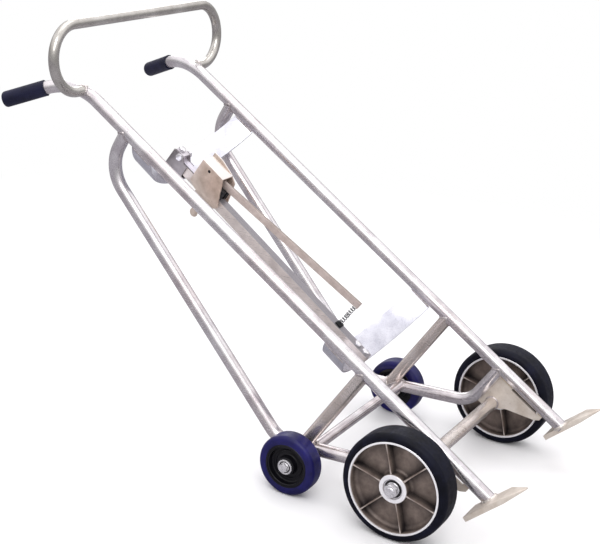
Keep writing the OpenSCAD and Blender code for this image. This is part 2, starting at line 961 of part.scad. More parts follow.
// ---------- rear wheels ----------
axle_plate_t = 12;
sleeve_d = 18;
sleeve_in = rail_x + axle_plate_t / 2;
sleeve_out = rear_x + rear_w / 2 + 1.5;
rear_washer_t = 2.5;

// Puts a shape drawn about +X on the left rear axle bolt
module at_rear_axle() {
    translate([0, axle_y + rear_y, rear_d / 2])
        children();
}

// Plates welded under the lower bend of each leg, drilled for the rear axle bolt
module rear_axle_plates() {
    outline = [[-34, 44], [34, 44], [34, 8], [16, -19], [-16, -19], [-34, 8]];
    color("gainsboro")
        for (side = [-1, 1])
            to_side(side)
                difference() {
                    at_rear_axle()
                        side_plate(outline, rail_x - axle_plate_t / 2, axle_plate_t);
                    leg_rod(fit_gap);
                    above_leg();
                    at_rear_axle()
                        along_x(rail_x - axle_plate_t)
                            cylinder(h = 2 * axle_plate_t, d = rear_bolt_d + 4 * fit_gap);
                }
}

// Everything above the leg's lower run, so a plate stays under it
module above_leg() {
    rail_axes()
        translate([rail_x - 50, 0, 0])
            upright()
                linear_extrude(100)
                    polygon([leg_path[2], leg_path[3], leg_path[3] + [0, 200],
                             leg_path[2] + [200, 255]]);
}

rear_head_h = 8;
rear_head_flats = 19;
module rear_axle_bolts() {
    head_x = sleeve_out + rear_washer_t + 2 * fit_gap;
    end_x = rail_x - axle_plate_t / 2 - 16;
    color("silver")
        at_rear_axle()
            for (side = [-1, 1])
                to_side(side)
                    union() {
                        along_x(end_x)
                            cylinder(h = head_x - end_x + 1, d = rear_bolt_d);
                        along_x(head_x)
                            hex_prism(rear_head_h, rear_head_flats);
                    }
}

module rear_axle_sleeves() {
    color("silver")
        at_rear_axle()
            for (side = [-1, 1])
                to_side(side)
                    along_x(sleeve_in + fit_gap)
                        ring(sleeve_out - sleeve_in - fit_gap, sleeve_d, rear_bolt_d + 2 * fit_gap);
}

module rear_axle_washers() {
    color("silver")
        at_rear_axle()
            for (side = [-1, 1])
                to_side(side) {
                    along_x(sleeve_out + fit_gap)
                        ring(rear_washer_t, 37, rear_bolt_d + 4 * fit_gap);
                    along_x(rear_x - rear_w / 2 - 1 - rear_washer_t)
                        ring(rear_washer_t, 30, sleeve_d + 4 * fit_gap);
                }
}

// Each nut is turned so that one flat lies along the leg's lower run
module rear_axle_nuts() {
    nut_h = 10;
    nut_flats = 18;
    leg_run_angle = angle_of(heading(leg_path, 2)) + rail_angle;
    color("silver")
        at_rear_axle()
            for (side = [-1, 1])
                to_side(side)
                    along_x(rail_x - axle_plate_t / 2 - nut_h - fit_gap)
                        difference() {
                            rotate([0, 0, leg_run_angle - 30])
                                hex_prism(nut_h, nut_flats);
                            translate([0, 0, -1])
                                cylinder(h = nut_h + 2, d = rear_bolt_d + 2 * fit_gap);
                        }
}

module at_rear_wheel() {
    at_rear_axle()
        translate([rear_x, 0, 0])
            rotate([0, 90, 0])
                children();
}

tread_round = 11;
module rear_tread() {
    half = rear_w / 2;
    outer = rear_d / 2;
    core = rear_core_d / 2 + fit_gap;
    color([0.1, 0.1, 0.45])
        at_rear_wheel()
            rotate_extrude()
                polygon(concat([[core, -half]],
                    arc_points([outer - tread_round, -half + tread_round], tread_round, -90, 0, 5),
                    arc_points([outer - tread_round, half - tread_round], tread_round, 0, 90, 5),
                    [[core, half]]));
}

// Moulded core: a rim and a hub joined by a web, the same on both faces
module rear_core() {
    half = rear_w / 2;
    rim_in = rear_core_d - 16;
    hub_d = 44;
    color([0.05, 0.05, 0.06])
        at_rear_wheel()
            difference() {
                translate([0, 0, -half])
                    cylinder(h = rear_w, d = rear_core_d);
                for (end = [0, 1])
                    mirror([0, 0, end])
                        translate([0, 0, 7])
                            ring(half, rim_in, hub_d);
                translate([0, 0, -half - 1])
                    cylinder(h = rear_w + 2, d = sleeve_d + 2 * run_gap);
            }
}

module left_rear_tread() { rear_tread(); }
module left_rear_core() { rear_core(); }
module right_rear_tread() { to_side(-1) rear_tread(); }
module right_rear_core() { to_side(-1) rear_core(); }

left_rail();
right_rail();
left_grip();
right_grip();
loop_handle();
left_leg();
right_leg();
left_strut();
right_strut();
rear_cross_tube();
axle_tube();
left_axle_gusset();
right_axle_gusset();
left_toe_plate();
right_toe_plate();
upper_cross_plate();
lower_cross_plate();
centre_bar();
bar_bracket();
bar_spacer();
bar_stop();
stop_bolt();
stop_nut();
cross_plate_bolts();
cross_plate_nuts();
main_axle();
axle_spacers();
axle_washers();
axle_nuts();
left_main_tyre();
left_main_hub();
left_main_bearings();
right_main_tyre();
right_main_hub();
right_main_bearings();
rear_axle_plates();
rear_axle_bolts();
rear_axle_sleeves();
rear_axle_washers();
rear_axle_nuts();
left_rear_tread();
left_rear_core();
right_rear_tread();
right_rear_core();
hook_carriage();
carriage_guides();
carriage_keeper();
carriage_rivets();
hook_pivot_pin();
pivot_spacers();
hook_lever();
lever_spring();
spring_foot();
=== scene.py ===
"""Looks for the four-wheel drum hand truck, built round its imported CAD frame. Metres, +Z up.

Most places are worked out in the truck's own rail axes, in millimetres from the main axle:
x across, t up along the rails, n square to them on the load side. Bar axes (x, u, w) follow the centre bar.
"""
import math
import random

import bmesh
import bpy
from mathutils import Matrix, Vector


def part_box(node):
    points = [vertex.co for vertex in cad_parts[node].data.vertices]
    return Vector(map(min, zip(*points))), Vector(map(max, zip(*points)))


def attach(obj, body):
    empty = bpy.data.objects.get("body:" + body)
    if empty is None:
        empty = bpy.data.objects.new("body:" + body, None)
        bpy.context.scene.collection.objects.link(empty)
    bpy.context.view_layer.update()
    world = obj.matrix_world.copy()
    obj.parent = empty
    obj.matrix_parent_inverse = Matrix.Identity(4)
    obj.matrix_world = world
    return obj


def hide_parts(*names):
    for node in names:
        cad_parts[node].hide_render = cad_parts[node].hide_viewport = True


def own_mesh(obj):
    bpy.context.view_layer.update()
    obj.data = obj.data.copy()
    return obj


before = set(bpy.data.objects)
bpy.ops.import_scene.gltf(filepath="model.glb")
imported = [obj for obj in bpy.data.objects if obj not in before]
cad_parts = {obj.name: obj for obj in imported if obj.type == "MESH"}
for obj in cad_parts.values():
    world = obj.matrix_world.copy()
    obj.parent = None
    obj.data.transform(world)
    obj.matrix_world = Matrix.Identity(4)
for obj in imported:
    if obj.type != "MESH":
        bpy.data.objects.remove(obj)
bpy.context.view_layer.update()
rng = random.Random(11)
MM = 0.001
SIDES = (("left", 1), ("right", -1))


def centre_of(node):
    low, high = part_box(node)
    return (low + high) / 2


# ---------- the truck's own axes ----------
AXLE = centre_of("main_axle")
RAIL_ANGLE = math.radians(32)
BAR_ANGLE = math.radians(32 + 1.8)


def tilted(angle):
    along = Vector((0, math.cos(angle), math.sin(angle)))
    out = Vector((0, -math.sin(angle), math.cos(angle)))
    return along, out


RAIL_T, RAIL_N = tilted(RAIL_ANGLE)
BAR_U, BAR_W = tilted(BAR_ANGLE)


def rail_at(x, t, n):
    return AXLE + MM * (Vector((x, 0, 0)) + t * RAIL_T + n * RAIL_N)


def rail_dir(x, t, n):
    return (Vector((x, 0, 0)) + t * RAIL_T + n * RAIL_N).normalized()


BAR_ORIGIN = rail_at(0, 306, -18)


def bar_at(x, u, w):
    return BAR_ORIGIN + MM * (Vector((x, 0, 0)) + u * BAR_U + w * BAR_W)


# Driving sizes, in millimetres, the same as the CAD's
RAIL_X = 229.5
RAIL_N0 = 89
TUBE_R = 16
RAIL_RUN = 1137
HANDLE_R = 140
HANDLE_BEND = math.radians(57.5)
HANDLE_FLARE = math.radians(24.5)
GRIP_LEN = 112
GRIP_END = 8
GRIP_R = 19.5
LOOP_R = 12.5
LOOP_H = 158
LOOP_HALF_W = 340
LOOP_LEAN = math.radians(52.5)
LOOP_T = 1176
LEG_BENDS = (92, 70, 70)
LEG_PATH = ((1028, 82), (1020, -19), (278, -215), (43, -41), (43, 82))
STRUT_T = 226
STRUT_N = -176.5
CROSS_T, CROSS_N, CROSS_R = 202, -152, 12.5
TOE_T0, TOE_N0, TOE_LEAN = -146.5, 42.4, math.radians(15.5)
FOOT_SINK = 19                  # how far the rails' ends run past the toe plate's rear edge
PLATE_R, PLATE_H, PLATE_T = 272, 66, 5
BAR_W_MM = 26
WHEEL_X, WHEEL_HALF, WHEEL_R, RIM_R = 305, 35, 127, 109
REAR_X, REAR_HALF, REAR_R, REAR_CORE_R = 281, 24, 73, 53
PIVOT_U, PIVOT_W = 574, 46
SPRING_U = 80

CORE_R = 0.02                   # lathed solids stop just short of their axis
BORE_CHAMFER = 0.6
GAP = 0.05                      # the CAD's gap between parts that touch


# ---------- mesh helpers ----------
def steps(start, end, by=0.6):
    """Even steps from start to end."""
    count = round((end - start) / by)
    return [start + by * i for i in range(count + 1)]


def unit(v):
    return Vector(v).normalized()


def bend_path(points, radii, step=math.radians(4)):
    """A path through the points with a round bend of its own radius at each inner point."""
    points = [Vector(p) for p in points]
    path = [points[0]]
    for before, corner, after, radius in zip(points, points[1:], points[2:], radii):
        a, b = unit(before - corner), unit(after - corner)
        turn = math.pi - a.angle(b)
        trim = radius * math.tan(turn / 2)
        start = corner + a * trim
        to_centre = unit(a + b) * (radius / math.cos(turn / 2))
        centre = corner + to_centre
        normal = unit((start - centre).cross(a))
        count = max(2, math.ceil(turn / step))
        for i in range(count + 1):
            spin = Matrix.Rotation(-turn * i / count, 3, normal)
            path.append(centre + spin @ (start - centre))
    path.append(points[-1])
    return path


def frames_along(path, closed=False):
    """A pair of axes square to the path at each point, carried along without twist."""
    count = len(path)
    tangents = []
    for i in range(count):
        if closed:
            a, b = path[i - 1], path[(i + 1) % count]
        else:
            a, b = path[max(i - 1, 0)], path[min(i + 1, count - 1)]
        tangents.append(unit(b - a))
    side = unit(tangents[0].orthogonal())
    pairs = []
    for tangent in tangents:
        side = unit(side - tangent * side.dot(tangent))
        pairs.append((side, tangent.cross(side)))
    return pairs


def loft(rings, closed=False, cap=True):
    """Vertices and faces through rings of equal length."""
    size = len(rings[0])
    verts = [tuple(v) for ring in rings for v in ring]
    faces = []
    spans = len(rings) if closed else len(rings) - 1
    for i in range(spans):
        a, b = i * size, (i + 1) % len(rings) * size
        for j in range(size):
            k = (j + 1) % size
            faces.append((a + j, a + k, b + k, b + j))
    if cap and not closed:
        faces.append(tuple(range(size))[::-1])
        faces.append(tuple(range(len(verts) - size, len(verts))))
    return verts, faces


def sweep(path, radius, sides=40, closed=False):
    """Round rod along a path; radius is one number or one for each point."""
    radii = radius if isinstance(radius, (list, tuple)) else [radius] * len(path)
    rings = []
    for point, (a, b), r in zip(path, frames_along(path, closed), radii):
        ring = []
        for j in range(sides):
            angle = 2 * math.pi * j / sides
            ring.append(point + r * (math.cos(angle) * a + math.sin(angle) * b))
        rings.append(ring)
    return loft(rings, closed)


def lathe(profile, centre, axis, sides=96, start=0.0):
    """Ring-shaped solid: profile is a closed loop of (radius, distance along axis), in millimetres."""
    axis = unit(axis)
    a = unit(axis.orthogonal())
    b = axis.cross(a)
    rings = []
    for j in range(sides):
        angle = start + 2 * math.pi * j / sides
        out = math.cos(angle) * a + math.sin(angle) * b
        rings.append([centre + MM * (r * out + s * axis) for r, s in profile])
    return loft(rings, closed=True)


def arc(cx, cy, r, a0, a1, steps):
    """Points of an arc, angles in degrees."""
    angles = [math.radians(a0 + (a1 - a0) * i / steps) for i in range(steps + 1)]
    return [(cx + r * math.cos(a), cy + r * math.sin(a)) for a in angles]


def hex_rings(flats, height, chamfer=0.95, per_side=6):
    """Rings of a chamfered hexagon, as (radius list, height list) pairs."""
    half = flats / 2
    sides = 6 * per_side
    corner = []
    for j in range(sides):
        off = (j % per_side) / per_side * math.radians(60) - math.radians(30)
        corner.append(half / math.cos(off))
    cone = math.tan(math.radians(30))
    cut = [(r - half * chamfer) * cone for r in corner]
    flat = [half * chamfer] * sides
    return [(flat, [0] * sides), (corner, cut), (corner, [height - c for c in cut]),
            (flat, [height] * sides)]


def hex_solid(flats, height, centre, axis, bore=0.0, turn=0.0):
    """Chamfered hexagon standing on centre along axis; a bore makes it a nut."""
    axis = unit(axis)
    a = unit(axis.orthogonal())
    b = axis.cross(a)
    rings = []
    outline = hex_rings(flats, height)
    sides = len(outline[0][0])
    if bore:
        bored = [bore / 2] * sides
        outline = [(bored, [BORE_CHAMFER] * sides)] + outline + [(bored, [height - BORE_CHAMFER] * sides)]
    for radii, heights in outline:
        ring = []
        for j, (r, h) in enumerate(zip(radii, heights)):
            angle = turn + 2 * math.pi * j / sides
            out = math.cos(angle) * a + math.sin(angle) * b
            ring.append(centre + MM * (r * out + h * axis))
        rings.append(ring)
    return loft(rings, closed=bool(bore))


def thread_profile(radius, start, end, pitch=1.5, depth=0.7):
    """Closed lathe profile of a threaded stud end with a chamfered tip."""
    points = [(CORE_R, start)]
    s = start
    while s < end - pitch:
        points.append((radius - depth, s + 0.1 * pitch))
        points.append((radius, s + 0.5 * pitch))
        s += pitch
    points.append((radius - depth, s))
    points.append((radius - 1.6, end))
    points.append((CORE_R, end))
    return points


def stud(radius, start, end, thread_from, centre, axis, sides=40):
    """Rod from start to end along axis, threaded beyond thread_from."""
    profile = [(CORE_R, start), (radius - 0.6, start), (radius, start + 0.6)]
    profile += thread_profile(radius, thread_from, end)[1:]
    return lathe(profile, centre, axis, sides)


def join(*parts):
    verts, faces = [], []
    for v, f in parts:
        base = len(verts)
        verts += v
        faces += [tuple(i + base for i in face) for face in f]
    return verts, faces


def add_piece(name, shape, body, material, replaces=(), crease=35):
    """Makes a mesh into a piece of the truck."""
    mesh = bpy.data.meshes.new(name)
    mesh.from_pydata(shape[0], [], shape[1])
    work = bmesh.new()
    work.from_mesh(mesh)
    bmesh.ops.remove_doubles(work, verts=work.verts, dist=1e-7)
    bmesh.ops.recalc_face_normals(work, faces=work.faces)
    work.to_mesh(mesh)
    work.free()
    return finish_piece(name, mesh, body, material, replaces, crease)


def finish_piece(name, mesh, body, material, replaces, crease):
    obj = bpy.data.objects.new(name, mesh)
    bpy.context.scene.collection.objects.link(obj)
    mesh.polygons.foreach_set("use_smooth", [True] * len(mesh.polygons))
    mesh.set_sharp_from_angle(angle=math.radians(crease))
    mesh.materials.clear()
    mesh.materials.append(material)
    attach(obj, body)
    if replaces:
        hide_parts(*replaces)
    return obj


def rounded(node, width, body, material, segments=3):
    """A copy of a flat-sided CAD node with its edges rounded, which stands for it."""
    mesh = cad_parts[node].data.copy()
    work = bmesh.new()
    work.from_mesh(mesh)
    bmesh.ops.remove_doubles(work, verts=work.verts, dist=1e-6)
    bmesh.ops.dissolve_limit(work, angle_limit=math.radians(0.6), verts=work.verts, edges=work.edges)
    bmesh.ops.recalc_face_normals(work, faces=work.faces)
    edges = [e for e in work.edges
             if len(e.link_faces) == 2 and e.calc_face_angle(0) > math.radians(40)]
    bmesh.ops.bevel(work, geom=edges, offset=width * MM, segments=segments, profile=0.5,
                    affect="EDGES", clamp_overlap=True)
    bmesh.ops.triangulate(work, faces=[f for f in work.faces if len(f.verts) > 4])
    work.to_mesh(mesh)
    work.free()
    mesh.name = node + "_body"
    return finish_piece(node + "_body", mesh, body, material, (node,), 28)


# ---------- materials ----------
def linear(rgb):
    """Screen colour, 0 to 255, to the renderer's linear colour."""
    out = []
    for c in rgb:
        c /= 255
        out.append(c / 12.92 if c <= 0.04045 else ((c + 0.055) / 1.055) ** 2.4)
    return out + [1.0]


class Nodes:
    """Small helper that builds one material's node tree."""

    def __init__(self, name):
        self.material = bpy.data.materials.new(name)
        self.material.use_nodes = True
        self.tree = self.material.node_tree
        self.surface = self.tree.nodes["Principled BSDF"]
        self.coords = self.add("ShaderNodeTexCoord").outputs["Object"]

    def add(self, kind, **inputs):
        node = self.tree.nodes.new(kind)
        for key, value in inputs.items():
            self.put(node.inputs[key.replace("_", " ")], value)
        return node

    def put(self, socket, value):
        if isinstance(value, bpy.types.NodeSocket):
            self.tree.links.new(value, socket)
        else:
            socket.default_value = value

    def math(self, operation, a, b=0.0):
        node = self.tree.nodes.new("ShaderNodeMath")
        node.operation = operation
        self.put(node.inputs[0], a)
        self.put(node.inputs[1], b)
        return node.outputs[0]

    def noise(self, scale, detail=3.0, rough=0.5, stretch=(1, 1, 1), turn=(0, 0, 0), distort=0.0):
        place = self.tree.nodes.new("ShaderNodeMapping")
        self.put(place.inputs["Vector"], self.coords)
        self.put(place.inputs["Rotation"], turn)
        self.put(place.inputs["Scale"], stretch)
        node = self.add("ShaderNodeTexNoise", Vector=place.outputs[0], Scale=scale, Detail=detail,
                        Roughness=rough, Distortion=distort)
        return node.outputs["Fac"]

    def ramp(self, fac, low, high, a=0.0, b=1.0):
        """Maps fac from low..high to a..b, clamped."""
        node = self.add("ShaderNodeMapRange")
        self.put(node.inputs["Value"], fac)
        for key, value in (("From Min", low), ("From Max", high), ("To Min", a), ("To Max", b)):
            self.put(node.inputs[key], value)
        return node.outputs[0]

    def mix(self, fac, a, b, blend="MIX"):
        node = self.tree.nodes.new("ShaderNodeMix")
        node.data_type = "RGBA"
        node.blend_type = blend
        self.put(node.inputs[0], fac)
        self.put(node.inputs[6], a)
        self.put(node.inputs[7], b)
        return node.outputs[2]

    def bump(self, height, strength, distance, before=None):
        node = self.add("ShaderNodeBump", Height=height, Strength=strength, Distance=distance)
        if before is not None:
            self.put(node.inputs["Normal"], before)
        return node.outputs[0]

    def along(self, direction, origin):
        """Distance in metres from origin along a direction, at the shaded point."""
        node = self.tree.nodes.new("ShaderNodeVectorMath")
        node.operation = "DOT_PRODUCT"
        self.put(node.inputs[0], self.coords)
        self.put(node.inputs[1], tuple(direction))
        return self.math("SUBTRACT", node.outputs["Value"], origin.dot(direction))

    def facing(self, direction, low=0.85, high=0.95):
        """1 where the surface faces a direction."""
        node = self.tree.nodes.new("ShaderNodeVectorMath")
        node.operation = "DOT_PRODUCT"
        self.put(node.inputs[0], self.tree.nodes.new("ShaderNodeTexCoord").outputs["Normal"])
        self.put(node.inputs[1], tuple(direction))
        return self.ramp(node.outputs["Value"], low, high)

    def finish(self, **inputs):
        for key, value in inputs.items():
            self.put(self.surface.inputs[key.replace("_", " ")], value)
        return self.material


def plated_metal(name, light, dark, rough, along, grain=0.5, mottle=28, spots=0.35, tint=None, metal=1.0,
                 zones=()):
    """Zinc-plated or bare metal: cloudy tone, fine drawing lines along the part, small stains.
    Each zone is a function that gives its strength from the Nodes helper, and its colour."""
    n = Nodes(name)
    cloud = n.noise(mottle, 4, 0.6)
    colour = n.mix(n.ramp(cloud, 0.35, 0.68), linear(light), linear(dark))
    stain = n.ramp(n.noise(160, 5, 0.65), 0.62, 0.74, 0, spots)
    colour = n.mix(stain, colour, linear([c * 0.62 for c in dark]))
    if tint is not None:
        patch = n.ramp(n.noise(7, 2, 0.5), 0.42, 0.62)
        colour = n.mix(patch, colour, n.mix(1.0, colour, linear(tint), "MULTIPLY"))
    for strength, paint in zones:
        colour = n.mix(strength(n), colour, linear(paint))
    lines = n.noise(900, 2, 0.5, stretch=along[0], turn=along[1])
    scratch = n.ramp(n.noise(1500, 1, 0.4, stretch=along[0], turn=along[1]), 0.66, 0.7)
    roughness = n.math("ADD", n.ramp(lines, 0.3, 0.7, rough * 0.8, rough * 1.25),
                       n.math("MULTIPLY", scratch, 0.08))
    normal = n.bump(lines, grain, 0.00004)
    normal = n.bump(n.noise(240, 3, 0.5), 0.16, 0.0002, normal)
    return n.finish(Base_Color=colour, Metallic=metal, Roughness=roughness, Normal=normal)


def brushed(angle):
    """Mapping that draws grain lines along the rails or the bar, which lean by angle."""
    return ((1, 0.03, 1), (-angle, 0, 0))


ALONG_RAIL = brushed(RAIL_ANGLE)
ALONG_BAR = brushed(BAR_ANGLE)
ALONG_X = ((0.03, 1, 1), (0, 0, 0))
NO_GRAIN = ((1, 1, 1), (0, 0, 0))


def moulded(name, light, dark, rough, bump_scale=700, bump=0.25, dust=None, shine=0.35):
    """Rubber or plastic: slight tone drift, fine texture and dusty scuffs."""
    n = Nodes(name)
    colour = n.mix(n.ramp(n.noise(22, 4, 0.6), 0.35, 0.7), linear(dark), linear(light))
    if dust is not None:
        scuff = n.ramp(n.noise(55, 6, 0.7, distort=0.8), 0.56, 0.78, 0, 0.5)
        colour = n.mix(scuff, colour, linear(dust))
    roughness = n.ramp(n.noise(130, 4, 0.6), 0.3, 0.7, rough * 0.85, rough * 1.2)
    normal = n.bump(n.noise(bump_scale, 3, 0.6), bump, 0.00015)
    return n.finish(Base_Color=colour, Roughness=roughness, Normal=normal, Specular_IOR_Level=shine)


def cast_hub(name):
    """Brown-grey casting, bright where its rim and boss are machined; painted shade darkens its recesses and a
    painted highlight lightens its rib tops and raised edges.
    """
    n = Nodes(name)
    cloud = n.noise(38, 5, 0.62)
    cast = n.mix(n.ramp(cloud, 0.33, 0.7), linear((164, 148, 138)), linear((120, 106, 98)))
    pits = n.noise(420, 4, 0.65)
    cast = n.mix(n.ramp(pits, 0.6, 0.75, 0, 0.5), cast, linear((72, 66, 64)))
    # Painted shade: the casting darkens towards near-black in its recesses, beside the ribs and the boss.
    shade = n.add("ShaderNodeAmbientOcclusion", Distance=0.05).outputs["AO"]
    cast = n.mix(n.ramp(shade, 0.38, 0.88, 0.97, 0.0), cast, linear((30, 26, 30)))
    split = n.add("ShaderNodeSeparateXYZ", Vector=n.coords)
    out = n.math("ABSOLUTE", split.outputs["X"])
    face = n.math("ABSOLUTE", n.math("SUBTRACT", out, WHEEL_X * MM))
    machined = n.ramp(face, 0.0335, 0.0342)
    # Painted highlight: the rib tops and raised edges of the hub turned paler.
    raised_edge_highlight = n.ramp(face, 0.0308, 0.0314, 0, 0.7)
    cast = n.mix(raised_edge_highlight, cast, linear((208, 198, 192)))
    turned = n.noise(1200, 2, 0.5, stretch=(1, 0.05, 0.05))
    bright = n.mix(turned, linear((252, 251, 253)), linear((234, 232, 236)))
    colour = n.mix(machined, cast, bright)
    roughness = n.ramp(machined, 0, 1, 0.5, 0.24)
    normal = n.bump(pits, 0.35, 0.0004)
    normal = n.bump(n.noise(90, 3, 0.5), 0.2, 0.0006, normal)
    return n.finish(Base_Color=colour, Metallic=n.ramp(machined, 0, 1, 0.4, 0.3), Roughness=roughness,
                    Normal=normal)


def bar_front_shade_low(n):
    """Front face of the centre bar below the carriage, darkened to mid-grey as painted shade."""
    return n.math("MULTIPLY", n.facing(BAR_W), n.ramp(n.along(BAR_U, BAR_ORIGIN), 0.5, 0.56, 0.9, 0.0))


# Front face of the centre bar above the carriage: a lavender-white painted highlight.
def bar_front_highlight_high(n):
    return n.math("MULTIPLY", n.facing(BAR_W), n.ramp(n.along(BAR_U, BAR_ORIGIN), 0.5, 0.56, 0.0, 0.9))


def bar_edge_shadow(n):
    """Painted shadow: a dark strip along the right front edge of the bar, between the carriage and the stop
    block.
    """
    beyond = n.ramp(n.along(BAR_U, BAR_ORIGIN), 0.596, 0.598)
    edge = n.ramp(n.along(Vector((-1, 0, 0)), BAR_ORIGIN), 0.0085, 0.0095)
    return n.math("MULTIPLY", n.math("MULTIPLY", n.facing(BAR_W, 0.5, 0.7), beyond), edge)


# Faces turned to the bar's front, such as the carriage web: a painted highlight.
def front_face_highlight(n):
    return n.facing(BAR_W)


# The lever's edge turned to the bar's front: darkened as painted shade.
def top_edge_shade(n):
    return n.math("MULTIPLY", n.facing(BAR_W, 0.6, 0.9), 0.7)


RAIL_METAL = plated_metal("bright_tube", (240, 237, 238), (212, 207, 210), 0.22, ALONG_RAIL,
                          tint=(250, 245, 244), metal=0.92)
STRUT_METAL = plated_metal("dull_tube", (238, 232, 228), (218, 210, 204), 0.24, NO_GRAIN,
                           spots=0.4, tint=(249, 245, 242), metal=0.85)
LOOP_METAL = plated_metal("satin_grey_tube", (214, 211, 205), (184, 180, 173), 0.22, ALONG_X, mottle=20,
                          metal=0.95)
BARE_METAL = plated_metal("bare_tan_plate", (222, 213, 203), (200, 188, 175), 0.44, NO_GRAIN,
                          mottle=34, spots=0.5, metal=0.35)
BARE_WELD = plated_metal("bare_plate_weld", (238, 232, 226), (206, 197, 188), 0.3, NO_GRAIN, mottle=120,
                         spots=0.5, metal=0.6)
STRIP_METAL = plated_metal("rolled_strip", (226, 226, 234), (200, 200, 210), 0.3, ALONG_X, metal=0.85)
# Painted light on the bar: shade on its front face below the carriage, a lavender-white highlight on it above,
# and a dark shadow strip along its right front edge.
BAR_METAL = plated_metal("square_tube", (226, 216, 211), (200, 190, 186), 0.32, ALONG_BAR, metal=0.5,
                         zones=((bar_front_shade_low, (140, 137, 143)), (bar_front_highlight_high, (232, 228, 240)),
                                (bar_edge_shadow, (46, 44, 58))))
BRACKET_METAL = plated_metal("bracket_steel", (158, 152, 154), (126, 121, 124), 0.36, ALONG_BAR, metal=0.6)
STOP_METAL = plated_metal("stop_block", (226, 221, 226), (196, 190, 196), 0.28, ALONG_BAR, metal=0.6)
DARK_METAL = plated_metal("dark_steel", (74, 70, 72), (48, 45, 48), 0.4, ALONG_BAR)
# Its front-facing web gets a paler tone as a painted highlight.
HOOK_METAL = plated_metal("yellow_zinc_sheet", (218, 203, 192), (192, 176, 163), 0.36, NO_GRAIN,
                          mottle=42, spots=0.45, tint=(246, 236, 230), metal=0.45,
                          zones=((front_face_highlight, (242, 235, 230)),))
# Its edge turned to the bar's front is darkened as painted shade.
LEVER_METAL = plated_metal("lever_flat_bar", (218, 203, 196), (190, 174, 166), 0.38, ALONG_BAR,
                           spots=0.5, metal=0.4, zones=((top_edge_shade, (138, 126, 120)),))
BRIGHT_METAL = plated_metal("bright_fastener", (250, 249, 251), (222, 220, 224), 0.2, NO_GRAIN,
                            mottle=90, spots=0.25, metal=0.75)
WELD_METAL = plated_metal("weld_bead", (232, 226, 226), (190, 182, 180), 0.28, NO_GRAIN, mottle=120,
                          spots=0.5)
BRASSY_WELD = plated_metal("tinted_weld_bead", (220, 206, 178), (176, 158, 130), 0.36, NO_GRAIN,
                           mottle=120, spots=0.6, metal=0.7)
SPRING_METAL = plated_metal("spring_wire", (58, 58, 64), (30, 30, 34), 0.34, NO_GRAIN, metal=0.6)
# Black for the main bearings' rubber seals, and as painted shade in the rear washers' grooves.
SEAL_AND_GROOVE_SHADE = moulded("bearing_seal", (44, 42, 44), (22, 21, 23), 0.45)
GRIP_RUBBER = moulded("grip_rubber", (25, 27, 56), (14, 16, 40), 0.42, 900, 0.3, shine=0.25)
TYRE_RUBBER = moulded("tyre_rubber", (16, 18, 36), (6, 7, 18), 0.5, 600, 0.35, dust=(34, 40, 70),
                      shine=0.16)
TREAD_BLUE = moulded("blue_tread", (24, 19, 98), (11, 9, 66), 0.36, 500, 0.15, dust=(38, 36, 108))
CORE_BLACK = moulded("black_core", (24, 23, 30), (11, 10, 15), 0.36, 500, 0.2)
NYLON_BLACK = moulded("black_nylon", (30, 29, 32), (17, 16, 19), 0.5, 500, 0.2)
HUB_METAL = cast_hub("cast_hub")


# ---------- tubes ----------
def rail_points(side):
    trim = HANDLE_R * math.tan(HANDLE_BEND / 2)
    handle = trim + GRIP_LEN - GRIP_END
    corner = (RAIL_X, RAIL_RUN + trim, RAIL_N0)
    drop = handle * math.sin(HANDLE_BEND)
    end = (RAIL_X + drop * math.sin(HANDLE_FLARE), corner[1] + handle * math.cos(HANDLE_BEND),
           RAIL_N0 - drop * math.cos(HANDLE_FLARE))
    foot = (RAIL_X, TOE_T0 - FOOT_SINK, RAIL_N0)
    return [rail_at(side * x, t, n) for x, t, n in (foot, corner, end)]


for name, side in SIDES:
    path = bend_path(rail_points(side), [HANDLE_R * MM])
    add_piece(name + "_rail_tube", sweep(path, TUBE_R * MM, 64), "frame", RAIL_METAL,
              (name + "_rail",))
    leg = bend_path([rail_at(side * RAIL_X, t, n) for t, n in LEG_PATH], [r * MM for r in LEG_BENDS])
    add_piece(name + "_leg_tube", sweep(leg, TUBE_R * MM, 64), "frame", RAIL_METAL,
              (name + "_leg",))
    strut = [rail_at(side * RAIL_X, STRUT_T, n) for n in (STRUT_N, RAIL_N0 - 4)]
    add_piece(name + "_strut_tube", sweep(strut, TUBE_R * MM, 64), "frame", STRUT_METAL,
              (name + "_strut",))


def loop_at(x, y):
    return rail_at(x, LOOP_T + y * math.cos(LOOP_LEAN), RAIL_N0 + y * math.sin(LOOP_LEAN))


loop_corners = [(RAIL_X, 0), (LOOP_HALF_W, 0), (LOOP_HALF_W, LOOP_H), (-LOOP_HALF_W, LOOP_H),
                (-LOOP_HALF_W, 0), (-RAIL_X, 0)]
loop = bend_path([loop_at(x, y) for x, y in loop_corners], [(LOOP_H / 2 - 1) * MM] * 4)
add_piece("loop_handle_tube", sweep(loop, LOOP_R * MM, 56), "frame", LOOP_METAL,
          ("loop_handle",))
cross = [rail_at(x, CROSS_T, CROSS_N) for x in (-RAIL_X + 7, RAIL_X - 7)]
add_piece("rear_cross_tube_body", sweep(cross, CROSS_R * MM, 56), "frame", RAIL_METAL,
          ("rear_cross_tube",))
AXLE_REACH = RAIL_X + 8
axle_tube = [(9.6, -AXLE_REACH), (15, -AXLE_REACH), (TUBE_R, 1 - AXLE_REACH), (TUBE_R, AXLE_REACH - 1),
             (15, AXLE_REACH), (9.6, AXLE_REACH)]
add_piece("axle_tube_body", lathe(axle_tube, AXLE, (1, 0, 0), 64), "frame", STRUT_METAL,
          ("axle_tube",))


